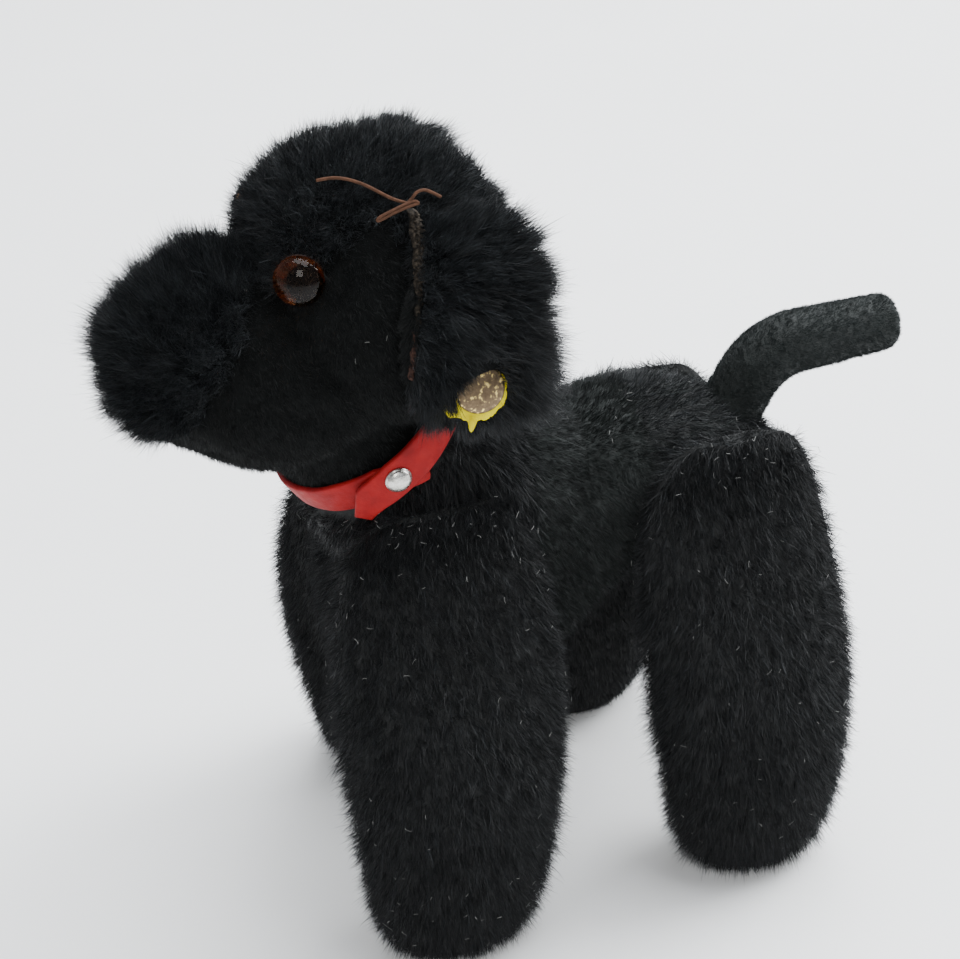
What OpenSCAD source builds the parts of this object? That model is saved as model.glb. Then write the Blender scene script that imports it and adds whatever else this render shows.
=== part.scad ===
// Jointed mohair toy poodle, standing. Front faces -Y, the toy's left side is +X, +Z is up.
// The origin is on the ground under the middle of the toy. Lengths in mm, angles in degrees.

/* [Stance] */
// Fore and aft position of the middle of the four feet
stance_y = 2.5; // [-10:0.1:10]
// Distance of each leg's centre from the middle of the toy
leg_side = 26.5; // [22:0.1:34]
// Height of the soles above the ground
sole_z = 0; // [0:0.1:2]

/* [Body] */
// Half width of the flat flanks that the legs turn against
flank = 15.4; // [12:0.1:20]
// Length of the body from chest to rump
body_length = 84; // [60:1:110]
// Position of the middle of the body behind the middle of the feet
body_mid = 1.5; // [-10:0.1:10]
// Height of the back at the middle of the body
back_z = 85; // [70:0.5:110]
// Height of the belly under the chest
belly_z = 41; // [30:0.5:60]
// Rise of the belly from chest to loin
tuck_up = 18; // [0:0.5:24]
// Position of the line where the long chest pile ends, behind the feet's middle
chest_end = -9; // [-20:0.5:0]
// Position of the line where the rump panel begins, behind the feet's middle
rump_start = 14; // [5:0.5:30]

/* [Neck] */
// Distance of the neck ring's centre in front of the feet's middle
neck_forward = 32.6; // [25:0.1:45]
// Height of the neck ring's centre
neck_z = 95; // [80:0.1:110]
// Lean of the neck axis forward from upright
neck_lean = 36; // [0:1:55]
// Radius of the neck under the collar
neck_r = 15.4; // [10:0.1:20]
// Half width of the gap between chest and head that the collar lies in
neck_gap = 4.4; // [2:0.1:8]

/* [Head] */
// Distance of the skull's centre in front of the feet's middle
skull_forward = 31.3; // [20:0.5:45]
// Height of the skull's centre
skull_z = 120.5; // [100:0.5:140]
// Half length of the skull
skull_long = 22.8; // [18:0.5:34]
// Half width of the skull
skull_wide = 21.5; // [15:0.5:30]
// Half height of the skull
skull_high = 24.8; // [18:0.5:34]
// Distance of the muzzle tip in front of the feet's middle
muzzle_forward = 73; // [60:0.5:90]
// Height of the muzzle's centre line at its tip
muzzle_z = 112; // [95:0.5:130]
// Half width of the muzzle
muzzle_wide = 14; // [8:0.5:20]
// Half height of the muzzle
muzzle_high = 15; // [8:0.5:20]
// Half width of the long-pile gusset over the crown
crown_strip = 15; // [6:0.5:20]
// Height of the lower edge of the crown gusset
crown_z = 128; // [115:0.5:140]

/* [Ears] */
// Gap between an ear and the side of the head
ear_gap = 1.4; // [0.5:0.1:4]
// Thickness of an ear, pile included
ear_thick = 4.4; // [2:0.1:8]
// Height of the top of an ear's seam
ear_top = 138.5; // [125:0.5:148]
// Height of the bottom of an ear's seam
ear_seam_end = 115; // [100:0.5:125]
// Height of the lowest point of an ear
ear_low = 108.5; // [90:0.5:115]
// Distance of the ear seam in front of the feet's middle
ear_seam = 33; // [20:0.5:40]
// Length of an ear behind its seam
ear_back = 21.5; // [12:0.5:32]

/* [Face] */
// Radius of an eye
eye_r = 3.9; // [2:0.1:6]
// Distance of the eyes in front of the feet's middle
eye_forward = 47; // [40:0.5:56]
// Height of the eyes
eye_z = 131.6; // [120:0.1:140]
// Distance of each eye from the middle of the head
eye_side = 14.2; // [8:0.1:20]
// Tilt of the eyes above level
eye_lift = 10; // [0:1:30]
// Half width of the stitched nose
nose_half = 4; // [2:0.1:6]

/* [Legs] */
// Height of a front leg's shoulder top
shoulder_z = 82; // [70:0.5:100]
// Height of a rear leg's thigh top
thigh_z = 82; // [70:0.5:100]
// Half depth of a front leg at the shoulder
shoulder_half = 15; // [12:0.5:26]
// Half depth of a front foot
front_foot_half = 14.6; // [8:0.1:22]
// Half depth of a rear leg at the thigh
thigh_half = 16.5; // [12:0.5:26]
// Half depth of a rear foot
rear_foot_half = 17.2; // [8:0.1:22]
// Half thickness of a leg, side to side
leg_half = 12; // [8:0.5:18]
// Half thickness of a leg near its top
leg_half_top = 7.5; // [5:0.5:12]
// Distance of the front legs' tops in front of the feet's middle
shoulder_forward = 26; // [15:0.5:40]
// Distance of the shoulder joints in front of the feet's middle
shoulder_joint_forward = 24; // [15:0.5:40]
// Distance of the front left foot in front of the feet's middle
front_left_foot = 26.4; // [15:0.1:40]
// Distance of the front right foot in front of the feet's middle
front_right_foot = 23; // [15:0.5:40]
// Distance of the thighs' tops behind the feet's middle
hip_back = 27; // [10:0.5:40]
// Distance of the hip joints behind the feet's middle
hip_joint_back = 26; // [10:0.5:40]
// Distance of the rear left foot behind the feet's middle
rear_left_foot = 32.6; // [10:0.1:40]
// Distance of the rear right foot behind the feet's middle
rear_right_foot = 18.5; // [10:0.5:40]
// Height of the shoulder joints
shoulder_joint_z = 60.5; // [50:0.5:80]
// Height of the hip joints
hip_joint_z = 69.5; // [50:0.5:80]
// Gap between a leg and the body
leg_gap = 0.4; // [0.2:0.05:1]

/* [Tail] */
// Radius of the tail
tail_r = 5.5; // [2:0.1:7]
// Distance of the tail's root behind the feet's middle
tail_root_back = 35; // [30:0.5:50]
// Height of the tail's root
tail_root_z = 81.2; // [70:0.5:95]
// Tilt of the tail's first part above level
tail_rise = 62; // [20:1:85]
// Tilt of the tail's last part above level
tail_end_tilt = 1; // [-20:1:45]
// Length of the tail's straight first part
tail_root_length = 7.5; // [1:0.5:12]
// Length of the tail's straight last part
tail_end_length = 20; // [5:0.5:30]
// Bend radius of the tail
tail_bend = 11; // [6:0.5:30]
// Radius of the tail's core wire
tail_wire_r = 0.9; // [0.4:0.1:1.6]

/* [Collar] */
// Width of the strap
strap_wide = 4.6; // [3:0.1:7]
// Thickness of the strap
strap_thick = 1.1; // [0.6:0.05:2]
// Gap between the strap and the neck
strap_gap = 0.35; // [0.2:0.05:1]
// Turn of the stud round the neck, from the throat towards the left
stud_turn = 87; // [0:1:180]
// Half of the angle that the overlapping end covers
tip_half = 27; // [10:1:45]
// Tilt of the overlapping end across the strap
tip_tilt = 13; // [-20:1:20]
// Radius of the dome stud
stud_r = 2.2; // [1:0.1:4]

/* [Tag and repair] */
// Radius of the ear tag
tag_r = 4; // [2:0.1:6]
// Distance of the tag in front of the feet's middle
tag_forward = 22.9; // [10:0.5:32]
// Height of the tag
tag_z = 114; // [100:0.5:125]
// Radius of the repair thread
thread_r = 0.35; // [0.2:0.05:0.8]

/* [Joint hardware] */
// Radius of the joint discs
disc_r = 5; // [3:0.1:12]
// Thickness of the joint discs
disc_thick = 1.5; // [0.8:0.1:3]
// Radius of the joint pins
pin_r = 0.8; // [0.5:0.05:1.5]
// Running clearance round each pin
pin_play = 0.06; // [0.02:0.01:0.1]
// Thickness of the fabric covers
cover = 1; // [0.6:0.05:2]

/* [Hidden] */

round_fn = 72;
strip_wide = 1.4;
cut = 200;
washer_r = 2.4;
washer_thick = 0.5;
head_thick = 0.8;
neck_play = 0.3;
play = 0.15;
leg_inner = flank + leg_gap;
body_front = body_mid - body_length / 2;
leg_rings = 11;
leg_sides = 20;
body_rings = 13;
body_sides = 26;
head_rings = 12;
head_sides = 24;

mohair_black = [0.05, 0.05, 0.06];
pile_black = [0.09, 0.1, 0.1];
wool_tan = [0.72, 0.6, 0.42];
board_brown = [0.5, 0.38, 0.25];
steel = [0.72, 0.72, 0.74];
bronze = [0.5, 0.42, 0.25];
collar_red = [0.75, 0.1, 0.12];

// ---------- shared helpers ----------

// Points of one elliptical ring: centre c, half axes u and v. Turning from u to v is
// anticlockwise as seen from the end that the loft runs towards.
function ring(c, u, v, n) = [for (i = [0:n - 1]) c + u * cos(360 * i / n) + v * sin(360 * i / n)];

// A closed surface through rings of n points each.
module loft(rings, n) {
    last = len(rings) - 1;
    points = [for (r = rings) each r];
    sides = [
        for (j = [0:last - 1], i = [0:n - 1])
            let (k = (i + 1) % n, a = j * n + i, b = j * n + k, c = (j + 1) * n + k, d = (j + 1) * n + i)
                each [[a, c, b], [a, d, c]]
    ];
    caps = [
        [for (i = [0:n - 1]) i],
        [for (i = [n - 1:-1:0]) last * n + i]
    ];
    polyhedron(points = points, faces = concat(sides, caps), convexity = 6);
}

// 0 to 1 along a form, closer together at both ends.
function spaced(i, n) = (1 - cos(180 * i / n)) / 2;
// Roundness of a form's ends: k = 2 is an ellipse, more is blunter.
function blunt(t, k) = pow(1 - pow(abs(2 * t - 1), k), 1 / k);
// The same with its own roundness for each half: k[0] at the start, k[1] at the end.
function blunt_ends(t, k) = blunt(t, t < 0.5 ? k[0] : k[1]);
function mix(a, b, t) = a + (b - a) * t;
function ease(t) = t * t * (3 - 2 * t);

// Runs in the frame of the neck: Z along the neck's axis, X to the toy's left, Y to the back.
module neck_frame() {
    translate([0, -neck_forward, neck_z]) rotate([neck_lean, 0, 0]) children();
}

module place() {
    translate([0, stance_y, 0]) children();
}

// A sewn or moulded soft form, kept as one closed mesh with everything cut into it.
module soft() {
    resize([0, 0, 0]) children();
}

module tube(r_out, r_in, h) {
    difference() {
        cylinder(r = r_out, h = h, $fn = round_fn);
        translate([0, 0, -1]) cylinder(r = r_in, h = h + 2, $fn = round_fn);
    }
}

// ---------- body ----------

// The trunk grown by g all round.
module trunk(g) {
    rings = [
        for (i = [0:body_rings])
            let (
                t = mix(0.012, 0.988, spaced(i, body_rings)),
                y = body_front - g + (body_length + 2 * g) * t,
                k = blunt(t, 2.9),
                low = belly_z + tuck_up * ease(min(1, max(0, (y + 8) / 21)))
                    - 6 * ease(min(1, max(0, (y - 14) / 8))) - g,
                high = back_z + 5 * sin(360 * (t - 0.42)) + g,
                mid = (low + high) / 2
            )
            ring([0, y, mid], [(flank + 3 + g) * k, 0, 0], [0, 0, (low - high) / 2 * k], body_sides)
    ];
    loft(rings, body_sides);
}

// The withers between trunk and neck, grown by g.
module withers(g) {
    neck_frame() {
        loft([
            for (i = [0:5])
                let (t = i / 5)
                ring(
                    [0, mix(5, 0, ease(t)), mix(-30, 0.5 - neck_gap, t)],
                    [mix(flank + 1, neck_r + 2.4, t) + g, 0, 0],
                    [0, mix(21, neck_r + 3, ease(t)) + g, 0],
                    body_sides
                )
        ], body_sides);
    }
}

module body_form(g) {
    difference() {
        intersection() {
            union() {
                trunk(g);
                withers(g);
            }
            translate([-flank - g, -cut / 2, 0]) cube([2 * (flank + g), cut, cut]);
        }
        neck_frame() translate([-cut / 2, -cut / 2, -neck_gap + g]) cube([cut, cut, cut]);
    }
    neck_frame() translate([0, 0, -14]) cylinder(r = neck_r + g, h = 14 - 0.2 + g, $fn = 48);
}

module shoulder_frame(side) {
    translate([0, -shoulder_joint_forward, shoulder_joint_z]) rotate([0, side * 90, 0]) children();
}

module hip_frame(side) {
    translate([0, hip_joint_back, hip_joint_z]) rotate([0, side * 90, 0]) children();
}

module each_leg_joint() {
    for (side = [-1, 1]) {
        shoulder_frame(side) children();
        hip_frame(side) children();
    }
}

module disc_pocket(from) {
    translate([0, 0, from]) cylinder(r = disc_r + play, h = disc_thick, $fn = 32);
}

// The fabric of the body between two planes across it.
module body_panel(from, to) {
    soft() intersection() {
        difference() {
            body_form(0);
            body_form(-cover);
            each_leg_joint() disc_pocket(flank - cover - disc_thick);
        }
        slab_y(from, to);
    }
}

module tail_hole(extra = 0.2) {
    tail_frame() translate([0, 0, -9]) cylinder(r = tail_wire_r + extra, h = 14, $fn = 32);
}

module slab_y(from, to) {
    translate([-cut / 2, from, -cut / 2]) cube([cut, to - from, 2 * cut]);
}

module body_chest() {
    color(mohair_black) place() difference() {
        body_panel(-cut, chest_end);
        for (side = [-1, 1]) shoulder_frame(side) cylinder(r = pin_r + neck_play, h = cut, $fn = round_fn);
        neck_frame() translate([0, 0, -cover * 2]) cylinder(r = pin_r + neck_play, h = 10, $fn = round_fn);
    }
}

module body_middle() {
    color(pile_black) place() body_panel(chest_end, rump_start);
}

module body_rump() {
    color(mohair_black) place() difference() {
        body_panel(rump_start, cut);
        for (side = [-1, 1]) hip_frame(side) cylinder(r = pin_r + neck_play, h = cut, $fn = round_fn);
        tail_hole();
    }
}

module body_filling() {
    color(wool_tan) place() soft() difference() {
        body_form(-cover);
        each_leg_joint() {
            translate([0, 0, flank - cover - disc_thick - 4]) cylinder(r = washer_r + 0.6, h = 8, $fn = 32);
            disc_pocket(flank - cover - disc_thick);
        }
        neck_frame() {
            translate([0, 0, -0.2 - cover - disc_thick]) cylinder(r = neck_r, h = 8, $fn = 48);
            translate([0, 0, -0.2 - cover - disc_thick - 4]) cylinder(r = washer_r + 0.6, h = 8, $fn = 32);
        }
        tail_hole(0.3);
    }
}

module hip_discs() {
    color(board_brown) place() each_leg_joint() {
        translate([0, 0, flank - cover - disc_thick]) tube(disc_r, pin_r + pin_play, disc_thick);
    }
}

module hip_washers() {
    color(steel) place() each_leg_joint() {
        translate([0, 0, flank - cover - disc_thick - washer_thick]) tube(washer_r, pin_r + pin_play, washer_thick);
    }
}

module neck_disc_lower() {
    color(board_brown) place() neck_frame() {
        translate([0, 0, -0.2 - cover - disc_thick]) tube(neck_r - cover - play, pin_r + pin_play, disc_thick);
    }
}

module neck_washer() {
    color(steel) place() neck_frame() {
        translate([0, 0, -0.2 - cover - disc_thick - washer_thick]) tube(washer_r, pin_r + pin_play, washer_thick);
    }
}

// ---------- tail ----------

// Runs at the tail's root, Z along its first part.
module tail_frame() {
    translate([0, tail_root_back, tail_root_z]) rotate([tail_rise - 90, 0, 0]) children();
}

// How far the tail has turned at d along its course: straight, one bend, then straight again.
function tail_turned(d) =
    min(tail_rise - tail_end_tilt, max(0, (d - tail_root_length) / tail_bend * 180 / PI));
function tail_beyond(d) = max(0, d - tail_root_length - tail_bend_length);
function tail_centre(d) =
    let (a = tail_turned(d), s = tail_beyond(d))
        [0, tail_bend * (1 - cos(a)) + s * sin(a), min(d, tail_root_length) + tail_bend * sin(a) + s * cos(a)];
function tail_ring(d, r, n) =
    ring(tail_centre(d), [r, 0, 0], [0, r * cos(tail_turned(d)), -r * sin(tail_turned(d))], n);

tail_bend_length = tail_bend * (tail_rise - tail_end_tilt) * PI / 180;
tail_course = concat([-1, tail_root_length], [for (i = [1:8]) tail_root_length + tail_bend_length * i / 8]);
tail_tip = tail_root_length + tail_bend_length + tail_end_length;
tail_rim = 2;

module tail_cover() {
    color(pile_black) place() soft() difference() {
        tail_frame() difference() {
            loft([
                for (d = tail_course) tail_ring(d, tail_r, 28),
                for (a = [0:22.5:90])
                    tail_ring(tail_tip - tail_rim * (1 - sin(a)), tail_r - tail_rim * (1 - cos(a)), 28)
            ], 28);
            loft([
                for (d = concat([-2], tail_course)) tail_ring(d, tail_wire_r + 0.1, 12),
                tail_ring(tail_tip - 2.9, tail_wire_r + 0.1, 12)
            ], 12);
        }
        body_form(0);
    }
}

module tail_core() {
    color(steel) place() soft() tail_frame() loft([
        for (d = concat([-8], tail_course)) tail_ring(d, tail_wire_r, 12),
        tail_ring(tail_tip - 3, tail_wire_r, 12)
    ], 12);
}

// ---------- head ----------

module skull(g) {
    rings = [
        for (i = [0:head_rings])
            let (
                t = mix(0.012, 0.988, spaced(i, head_rings)),
                y = -skull_forward - (skull_long + g) * (1 - 2 * t),
                k = blunt(t, 2.25)
            )
            ring([0, y, skull_z], [(skull_wide + g) * k, 0, 0], [0, 0, -(skull_high + g) * k], head_sides)
    ];
    loft(rings, head_sides);
}

module muzzle(g) {
    reach = muzzle_forward - skull_forward + 4;
    rings = [
        for (i = [0:head_rings])
            let (
                t = mix(0.012, 0.988, spaced(i, head_rings)),
                y = -muzzle_forward - g + (reach + 2 * g) * t,
                k = blunt(t, 2.6),
                w = mix(muzzle_wide, skull_wide - 1, ease(t)),
                h = mix(muzzle_high, skull_high - 5, ease(t)),
                z = mix(muzzle_z, skull_z - 7, ease(t))
            )
            ring([0, y, z], [(w + g) * k, 0, 0], [0, 0, -(h + g) * k], head_sides)
    ];
    loft(rings, head_sides);
}

module head_form(g) {
    difference() {
        union() {
            skull(g);
            muzzle(g);
        }
        neck_frame() translate([-cut / 2, -cut / 2, neck_gap - g - cut]) cube([cut, cut, cut]);
    }
    neck_frame() translate([0, 0, 0.2 - g]) cylinder(r = neck_r + g, h = 12, $fn = 48);
}

module head_shell() {
    difference() {
        head_form(0);
        head_form(-cover);
        each_eye() {
            cylinder(r = 0.5, h = 30, center = true, $fn = 24);
            cylinder(r = eye_r + play, h = 8, $fn = 48);
        }
        nose_seat();
    }
}

module nose_seat() {
    translate([0, -muzzle_forward - 5, muzzle_z + 3]) rotate([-90, 0, 0])
        cylinder(r = nose_half + 0.05, h = 7, $fn = 48);
}

// The long-pile band round the muzzle lies in front of this plane.
module muzzle_zone() {
    translate([-cut / 2, -skull_forward - skull_long - 1.5 - cut, muzzle_z - 8]) cube([cut, cut, cut]);
}

module crown_zone() {
    difference() {
        union() {
            translate([-crown_strip, -cut / 2, crown_z]) cube([2 * crown_strip, cut, cut]);
            translate([-cut / 2, -skull_forward, crown_z]) cube([cut, cut, cut]);
        }
        muzzle_zone();
    }
}

module head_side(side) {
    color(pile_black) place() difference() {
        soft() difference() {
            head_shell();
            muzzle_zone();
            crown_zone();
            mirror([side > 0 ? 1 : 0, 0, 0]) translate([0, -cut, -cut]) cube([cut, 2 * cut, 3 * cut]);
        }
        neck_frame() translate([0, 0, -1]) cylinder(r = pin_r + 0.05, h = 4, $fn = round_fn);
    }
}

module head_side_left() {
    head_side(1);
}

module head_side_right() {
    head_side(-1);
}

module head_crown() {
    color(mohair_black) place() soft() intersection() {
        head_shell();
        crown_zone();
    }
}

module head_muzzle() {
    color(mohair_black) place() soft() intersection() {
        head_shell();
        muzzle_zone();
    }
}

module head_filling() {
    color(wool_tan) place() soft() difference() {
        head_form(-cover);
        neck_frame() {
            translate([0, 0, cover]) cylinder(r = neck_r, h = 0.2 + disc_thick, $fn = 48);
            cylinder(r = washer_r + 0.4, h = 0.2 + cover + disc_thick + head_thick, $fn = 32);
        }
        each_eye() cylinder(r = 0.5, h = 30, center = true, $fn = 24);
        nose_seat();
    }
}

module neck_disc_upper() {
    color(board_brown) place() neck_frame() {
        translate([0, 0, 0.2 + cover]) tube(neck_r - cover - play, pin_r + 0.05, disc_thick);
    }
}

// The shank of a joint pin with a head at each end, Z = 0 on the fixed side's face.
module joint_pin(above, below) {
    translate([0, 0, -below]) cylinder(r = pin_r, h = above + below, $fn = round_fn);
    translate([0, 0, above]) cylinder(r = washer_r, h = head_thick, $fn = round_fn);
    translate([0, 0, -below - head_thick]) cylinder(r = washer_r - 0.6, h = head_thick, $fn = round_fn);
}

module neck_pin() {
    color(steel) place() neck_frame() {
        joint_pin(0.2 + cover + disc_thick, 0.2 + cover + disc_thick + washer_thick + 0.1);
    }
}

// ---------- eyes and nose ----------

module each_eye() {
    for (side = [-1, 1]) eye_frame(side) children();
}

// Runs at an eye, Z outward along its shank.
module eye_frame(side) {
    translate([side * eye_side, -eye_forward, eye_z]) rotate([0, 0, -side * 26]) rotate([0, side * (90 - eye_lift), 0])
        children();
}

module eye_glass() {
    difference() {
        rotate_extrude($fn = round_fn) intersection() {
            translate([0, -1.2]) circle(r = eye_r + 0.35);
            translate([0, 0]) square([eye_r, eye_r + 1]);
        }
        translate([0, 0, -1]) cylinder(r = eye_r * 0.42, h = 1.9, $fn = round_fn);
    }
}

module eye_left() {
    color([0.35, 0.15, 0.05]) place() eye_frame(1) eye_glass();
}

module eye_right() {
    color([0.35, 0.15, 0.05]) place() eye_frame(-1) eye_glass();
}

module eye_pupils() {
    color([0.01, 0.01, 0.01]) place() each_eye() cylinder(r = eye_r * 0.42, h = 0.9, $fn = round_fn);
}

module eye_shanks() {
    color(steel) place() each_eye() translate([0, 0, -7]) cylinder(r = 0.4, h = 7, $fn = round_fn);
}

module nose() {
    color([0.02, 0.02, 0.02]) place() translate([0, -muzzle_forward + 2, muzzle_z + 3]) rotate([90, 0, 0]) {
        cylinder(r = nose_half, h = 1.2, $fn = round_fn);
        translate([0, 0, 1.2]) cylinder(r = nose_half - 0.8, h = 0.8, $fn = round_fn);
    }
}

// ---------- ears ----------

// An egg-shaped form that the ears follow, g outside the side of the head.
module ear_guide(g) {
    rings = [
        for (i = [0:head_rings])
            let (
                t = mix(0.012, 0.988, spaced(i, head_rings)),
                y = -skull_forward + 4 - (skull_long + 5 + g) * (1 - 2 * t),
                k = blunt(t, 2.3)
            )
            ring([0, y, skull_z - 2], [(skull_wide + g) * k, 0, 0], [0, 0, -(skull_high + 1 + g) * k], head_sides)
    ];
    loft(rings, head_sides);
}

// An ear from the side, Y against Z, with its seam leaning back towards its top.
module ear_outline() {
    seam = [-ear_seam - 1, -ear_seam + 3.5];
    wide = ear_back / 2;
    hull() {
        translate([seam[0] + wide, ear_low + wide]) circle(r = wide, $fn = 48);
        translate([seam[0] + ear_back - wide, ear_top - wide - 4]) circle(r = wide, $fn = 48);
        translate([seam[1] + 2, ear_top - 2]) circle(r = 2, $fn = 24);
        translate([seam[1] + 11, ear_top - 7]) circle(r = 7, $fn = 24);
    }
}

module ear_layer(side, from, to) {
    soft() intersection() {
        difference() {
            ear_guide(to);
            ear_guide(from);
        }
        mirror([side > 0 ? 0 : 1, 0, 0]) translate([8, 0, 0]) rotate([90, 0, 90])
            linear_extrude(height = 40) ear_outline();
    }
}

module ear(side) {
    color(mohair_black) place() difference() {
        ear_layer(side, ear_gap + cover, ear_gap + ear_thick);
        if (side > 0) tag_seat();
    }
}

module ear_lining(side) {
    color(pile_black) place() difference() {
        ear_layer(side, ear_gap, ear_gap + cover);
        if (side > 0) tag_frame() cylinder(r = 0.6, h = 12, center = true, $fn = round_fn);
    }
}

module ear_left() {
    ear(1);
}

module ear_left_lining() {
    ear_lining(1);
}

module ear_right() {
    ear(-1);
}

module ear_right_lining() {
    ear_lining(-1);
}

// Runs at the ear tag, Z outward from the ear's surface.
module tag_frame() {
    translate([skull_wide + ear_gap + ear_thick - 2, -tag_forward, tag_z]) rotate([0, 102, 0])
        rotate([4, 0, 0]) children();
}

module tag_seat() {
    tag_frame() {
        translate([0, 0, 0]) cylinder(r = tag_r + 0.9, h = 12, $fn = round_fn);
        cylinder(r = 0.6, h = 12, center = true, $fn = round_fn);
    }
}

module tag_felt() {
    color([0.85, 0.75, 0.1]) place() tag_frame() translate([0, 0, 0.05])
        tube(tag_r + 0.8, 0.65, 0.8);
}

module tag_disc() {
    color(bronze) place() tag_frame() translate([0, 0, 0.9]) difference() {
        union() {
            cylinder(r = tag_r, h = 0.5, $fn = round_fn);
            translate([0, 0, 0.5]) rotate_extrude($fn = round_fn) intersection() {
                translate([0, -9.6]) circle(r = 10.4);
                square([tag_r - 0.5, 2]);
            }
        }
        translate([0, 0, -1]) cylinder(r = 0.55, h = 1.5, $fn = round_fn);
    }
}

module tag_rivet() {
    color(bronze) place() tag_frame() translate([0, 0, -2.6]) cylinder(r = 0.55, h = 2.6 + 0.9 + 0.5, $fn = round_fn);
}

module ear_seam_strip() {
    color([0.35, 0.32, 0.28]) place() soft() intersection() {
        difference() {
            ear_guide(ear_gap + 2.2);
            ear_guide(ear_gap + 0.8);
            translate([0, 0, 0]) rotate([90, 0, 90]) linear_extrude(height = 60) ear_outline();
        }
        translate([8, 0, 0]) rotate([90, 0, 90]) linear_extrude(height = 60) intersection() {
            translate([-strip_wide, 0]) ear_outline();
            translate([-ear_seam - 4, ear_seam_end]) square([12, ear_top - 4 - ear_seam_end]);
        }
    }
}

// A run of round thread through the given points, none of them straight above the last.
module strand(points, r) {
    last = len(points) - 1;
    loft([
        for (i = [0:last])
            let (
                along = points[min(last, i + 1)] - points[max(0, i - 1)],
                t = along / norm(along),
                side = cross([0, 0, 1], t),
                u = side / norm(side)
            )
            ring(points[i], r * u, r * cross(t, u), 6)
    ], 6);
}

// The knot at the top of the ear's seam, with a flat loop and two free ends.
module repair_thread() {
    knot = [17.4, -ear_seam + 2.9, ear_top + 4.6];
    forward_end = [for (t = [0:0.2:1]) knot + [-2.6 * t, -9.5 * t, 3.4 * sin(110 * t)]];
    backward_end = [for (t = [0:0.25:1]) knot + [-1.5 * t, 6.5 * t, 1.1 + 1.2 * sin(180 * t) - t]];
    loop = [for (a = [0:34:340]) knot + [0.3 - 0.4 * sin(a), 0.4 + 2.7 * cos(a), -0.6 + 0.9 * sin(a)]];
    color([0.45, 0.22, 0.15]) place() soft() {
        strand(forward_end, thread_r);
        strand(backward_end, thread_r);
        strand(loop, thread_r);
    }
}

// ---------- collar ----------

module strap_arc(r_in, thick, wide, from, to) {
    rotate([0, 0, from]) rotate_extrude(angle = to - from, $fn = 2 * round_fn)
        translate([r_in, -wide / 2]) square([thick, wide]);
}

// Runs at the stud, still centred on the neck's axis; X points out through the stud.
module stud_turned() {
    rotate([0, 0, -90 + stud_turn]) children();
}

module collar_strap() {
    r = neck_r + strap_gap;
    color(collar_red) place() neck_frame() difference() {
        tube_band(r);
        stud_turned() rotate([0, 90, 0]) cylinder(r = 0.8, h = 40, $fn = round_fn);
    }
}

module tube_band(r) {
    translate([0, 0, -strap_wide / 2]) tube(r + strap_thick, r, strap_wide);
}

module collar_end() {
    r = neck_r + strap_gap + strap_thick;
    color(collar_red) place() neck_frame() stud_turned() difference() {
        rotate([tip_tilt, 0, 0]) difference() {
            strap_arc(r + 0.05, strap_thick, strap_wide, -tip_half, tip_half);
            for (s = [-1, 1]) rotate([0, 0, -tip_half]) translate([r, 0, 0]) rotate([s * 38, 0, 0])
                translate([-3, -6, s > 0 ? strap_wide * 0.42 : -strap_wide * 0.42 - 6]) cube([8, 12, 6]);
        }
        rotate([0, 90, 0]) cylinder(r = 0.8, h = 40, $fn = round_fn);
        tube(r + 0.02, r - 3, 20);
        translate([0, 0, -20]) tube(r + 0.02, r - 3, 20);
    }
}

module collar_stud() {
    r = neck_r + strap_gap + 2 * strap_thick + 0.25;
    color(steel) place() neck_frame() stud_turned() rotate([0, 90, 0]) {
        translate([0, 0, r]) rotate_extrude($fn = round_fn) intersection() {
            translate([0, -0.9]) circle(r = sqrt(stud_r * stud_r + 0.81));
            square([stud_r, 4]);
        }
        translate([0, 0, neck_r + strap_gap]) cylinder(r = 0.75, h = r - neck_r - strap_gap, $fn = round_fn);
    }
}

module collar_stud_back() {
    color(steel) place() neck_frame() stud_turned() rotate([0, 90, 0]) {
        translate([0, 0, neck_r + strap_gap - 0.3]) cylinder(r = 1.4, h = 0.2, $fn = round_fn);
    }
}

// ---------- legs ----------

// Rings up a leg from below its sole to its top. reach = [foot's y, top's y], half = [foot, top].
module leg_loft(g, top, reach, half, k_ends) {
    loft([
        for (i = [0:leg_rings])
            let (
                t = mix(0.01, 0.985, spaced(i, leg_rings)),
                z = sole_z - 2.5 - g + (top - sole_z + 2.5 + 2 * g) * t,
                k = blunt_ends(t, k_ends),
                depth = mix(half[0], half[1], ease(min(1, max(0, (t - 0.1) / 0.55)))) + g,
                y = mix(reach[0], reach[1], min(1, t * 1.25)),
                thick = mix(leg_half, leg_half_top, ease(min(1, max(0, (t - 0.5) / 0.45))))
            )
            ring([leg_side - leg_half + thick, y, z], [(thick + g) * k, 0, 0], [0, depth * k, 0], leg_sides)
    ], leg_sides);
}

// A leg is [front or rear, foot's y], drawn for the left side.
function is_front(leg) = leg[0] == 1;
function top_y(leg) = is_front(leg) ? -shoulder_forward : hip_back;
function joint_y(leg) = is_front(leg) ? -shoulder_joint_forward : hip_joint_back;
function joint_z(leg) = is_front(leg) ? shoulder_joint_z : hip_joint_z;

front_left = [1, -front_left_foot];
front_right = [1, -front_right_foot];
rear_left = [0, rear_left_foot];
rear_right = [0, rear_right_foot];

module leg_form(leg, g) {
    intersection() {
        if (is_front(leg)) leg_loft(g, shoulder_z, [leg[1], top_y(leg)], [front_foot_half, shoulder_half], [2.7, 3.4]);
        else leg_loft(g, thigh_z, [leg[1], top_y(leg)], [rear_foot_half, thigh_half], [2.8, 3.2]);
        translate([leg_inner - g, -cut / 2, sole_z - g]) cube([cut, cut, cut]);
    }
}

module at_leg_joint(leg) {
    translate([leg_inner, joint_y(leg), joint_z(leg)]) rotate([0, 90, 0]) children();
}

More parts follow.
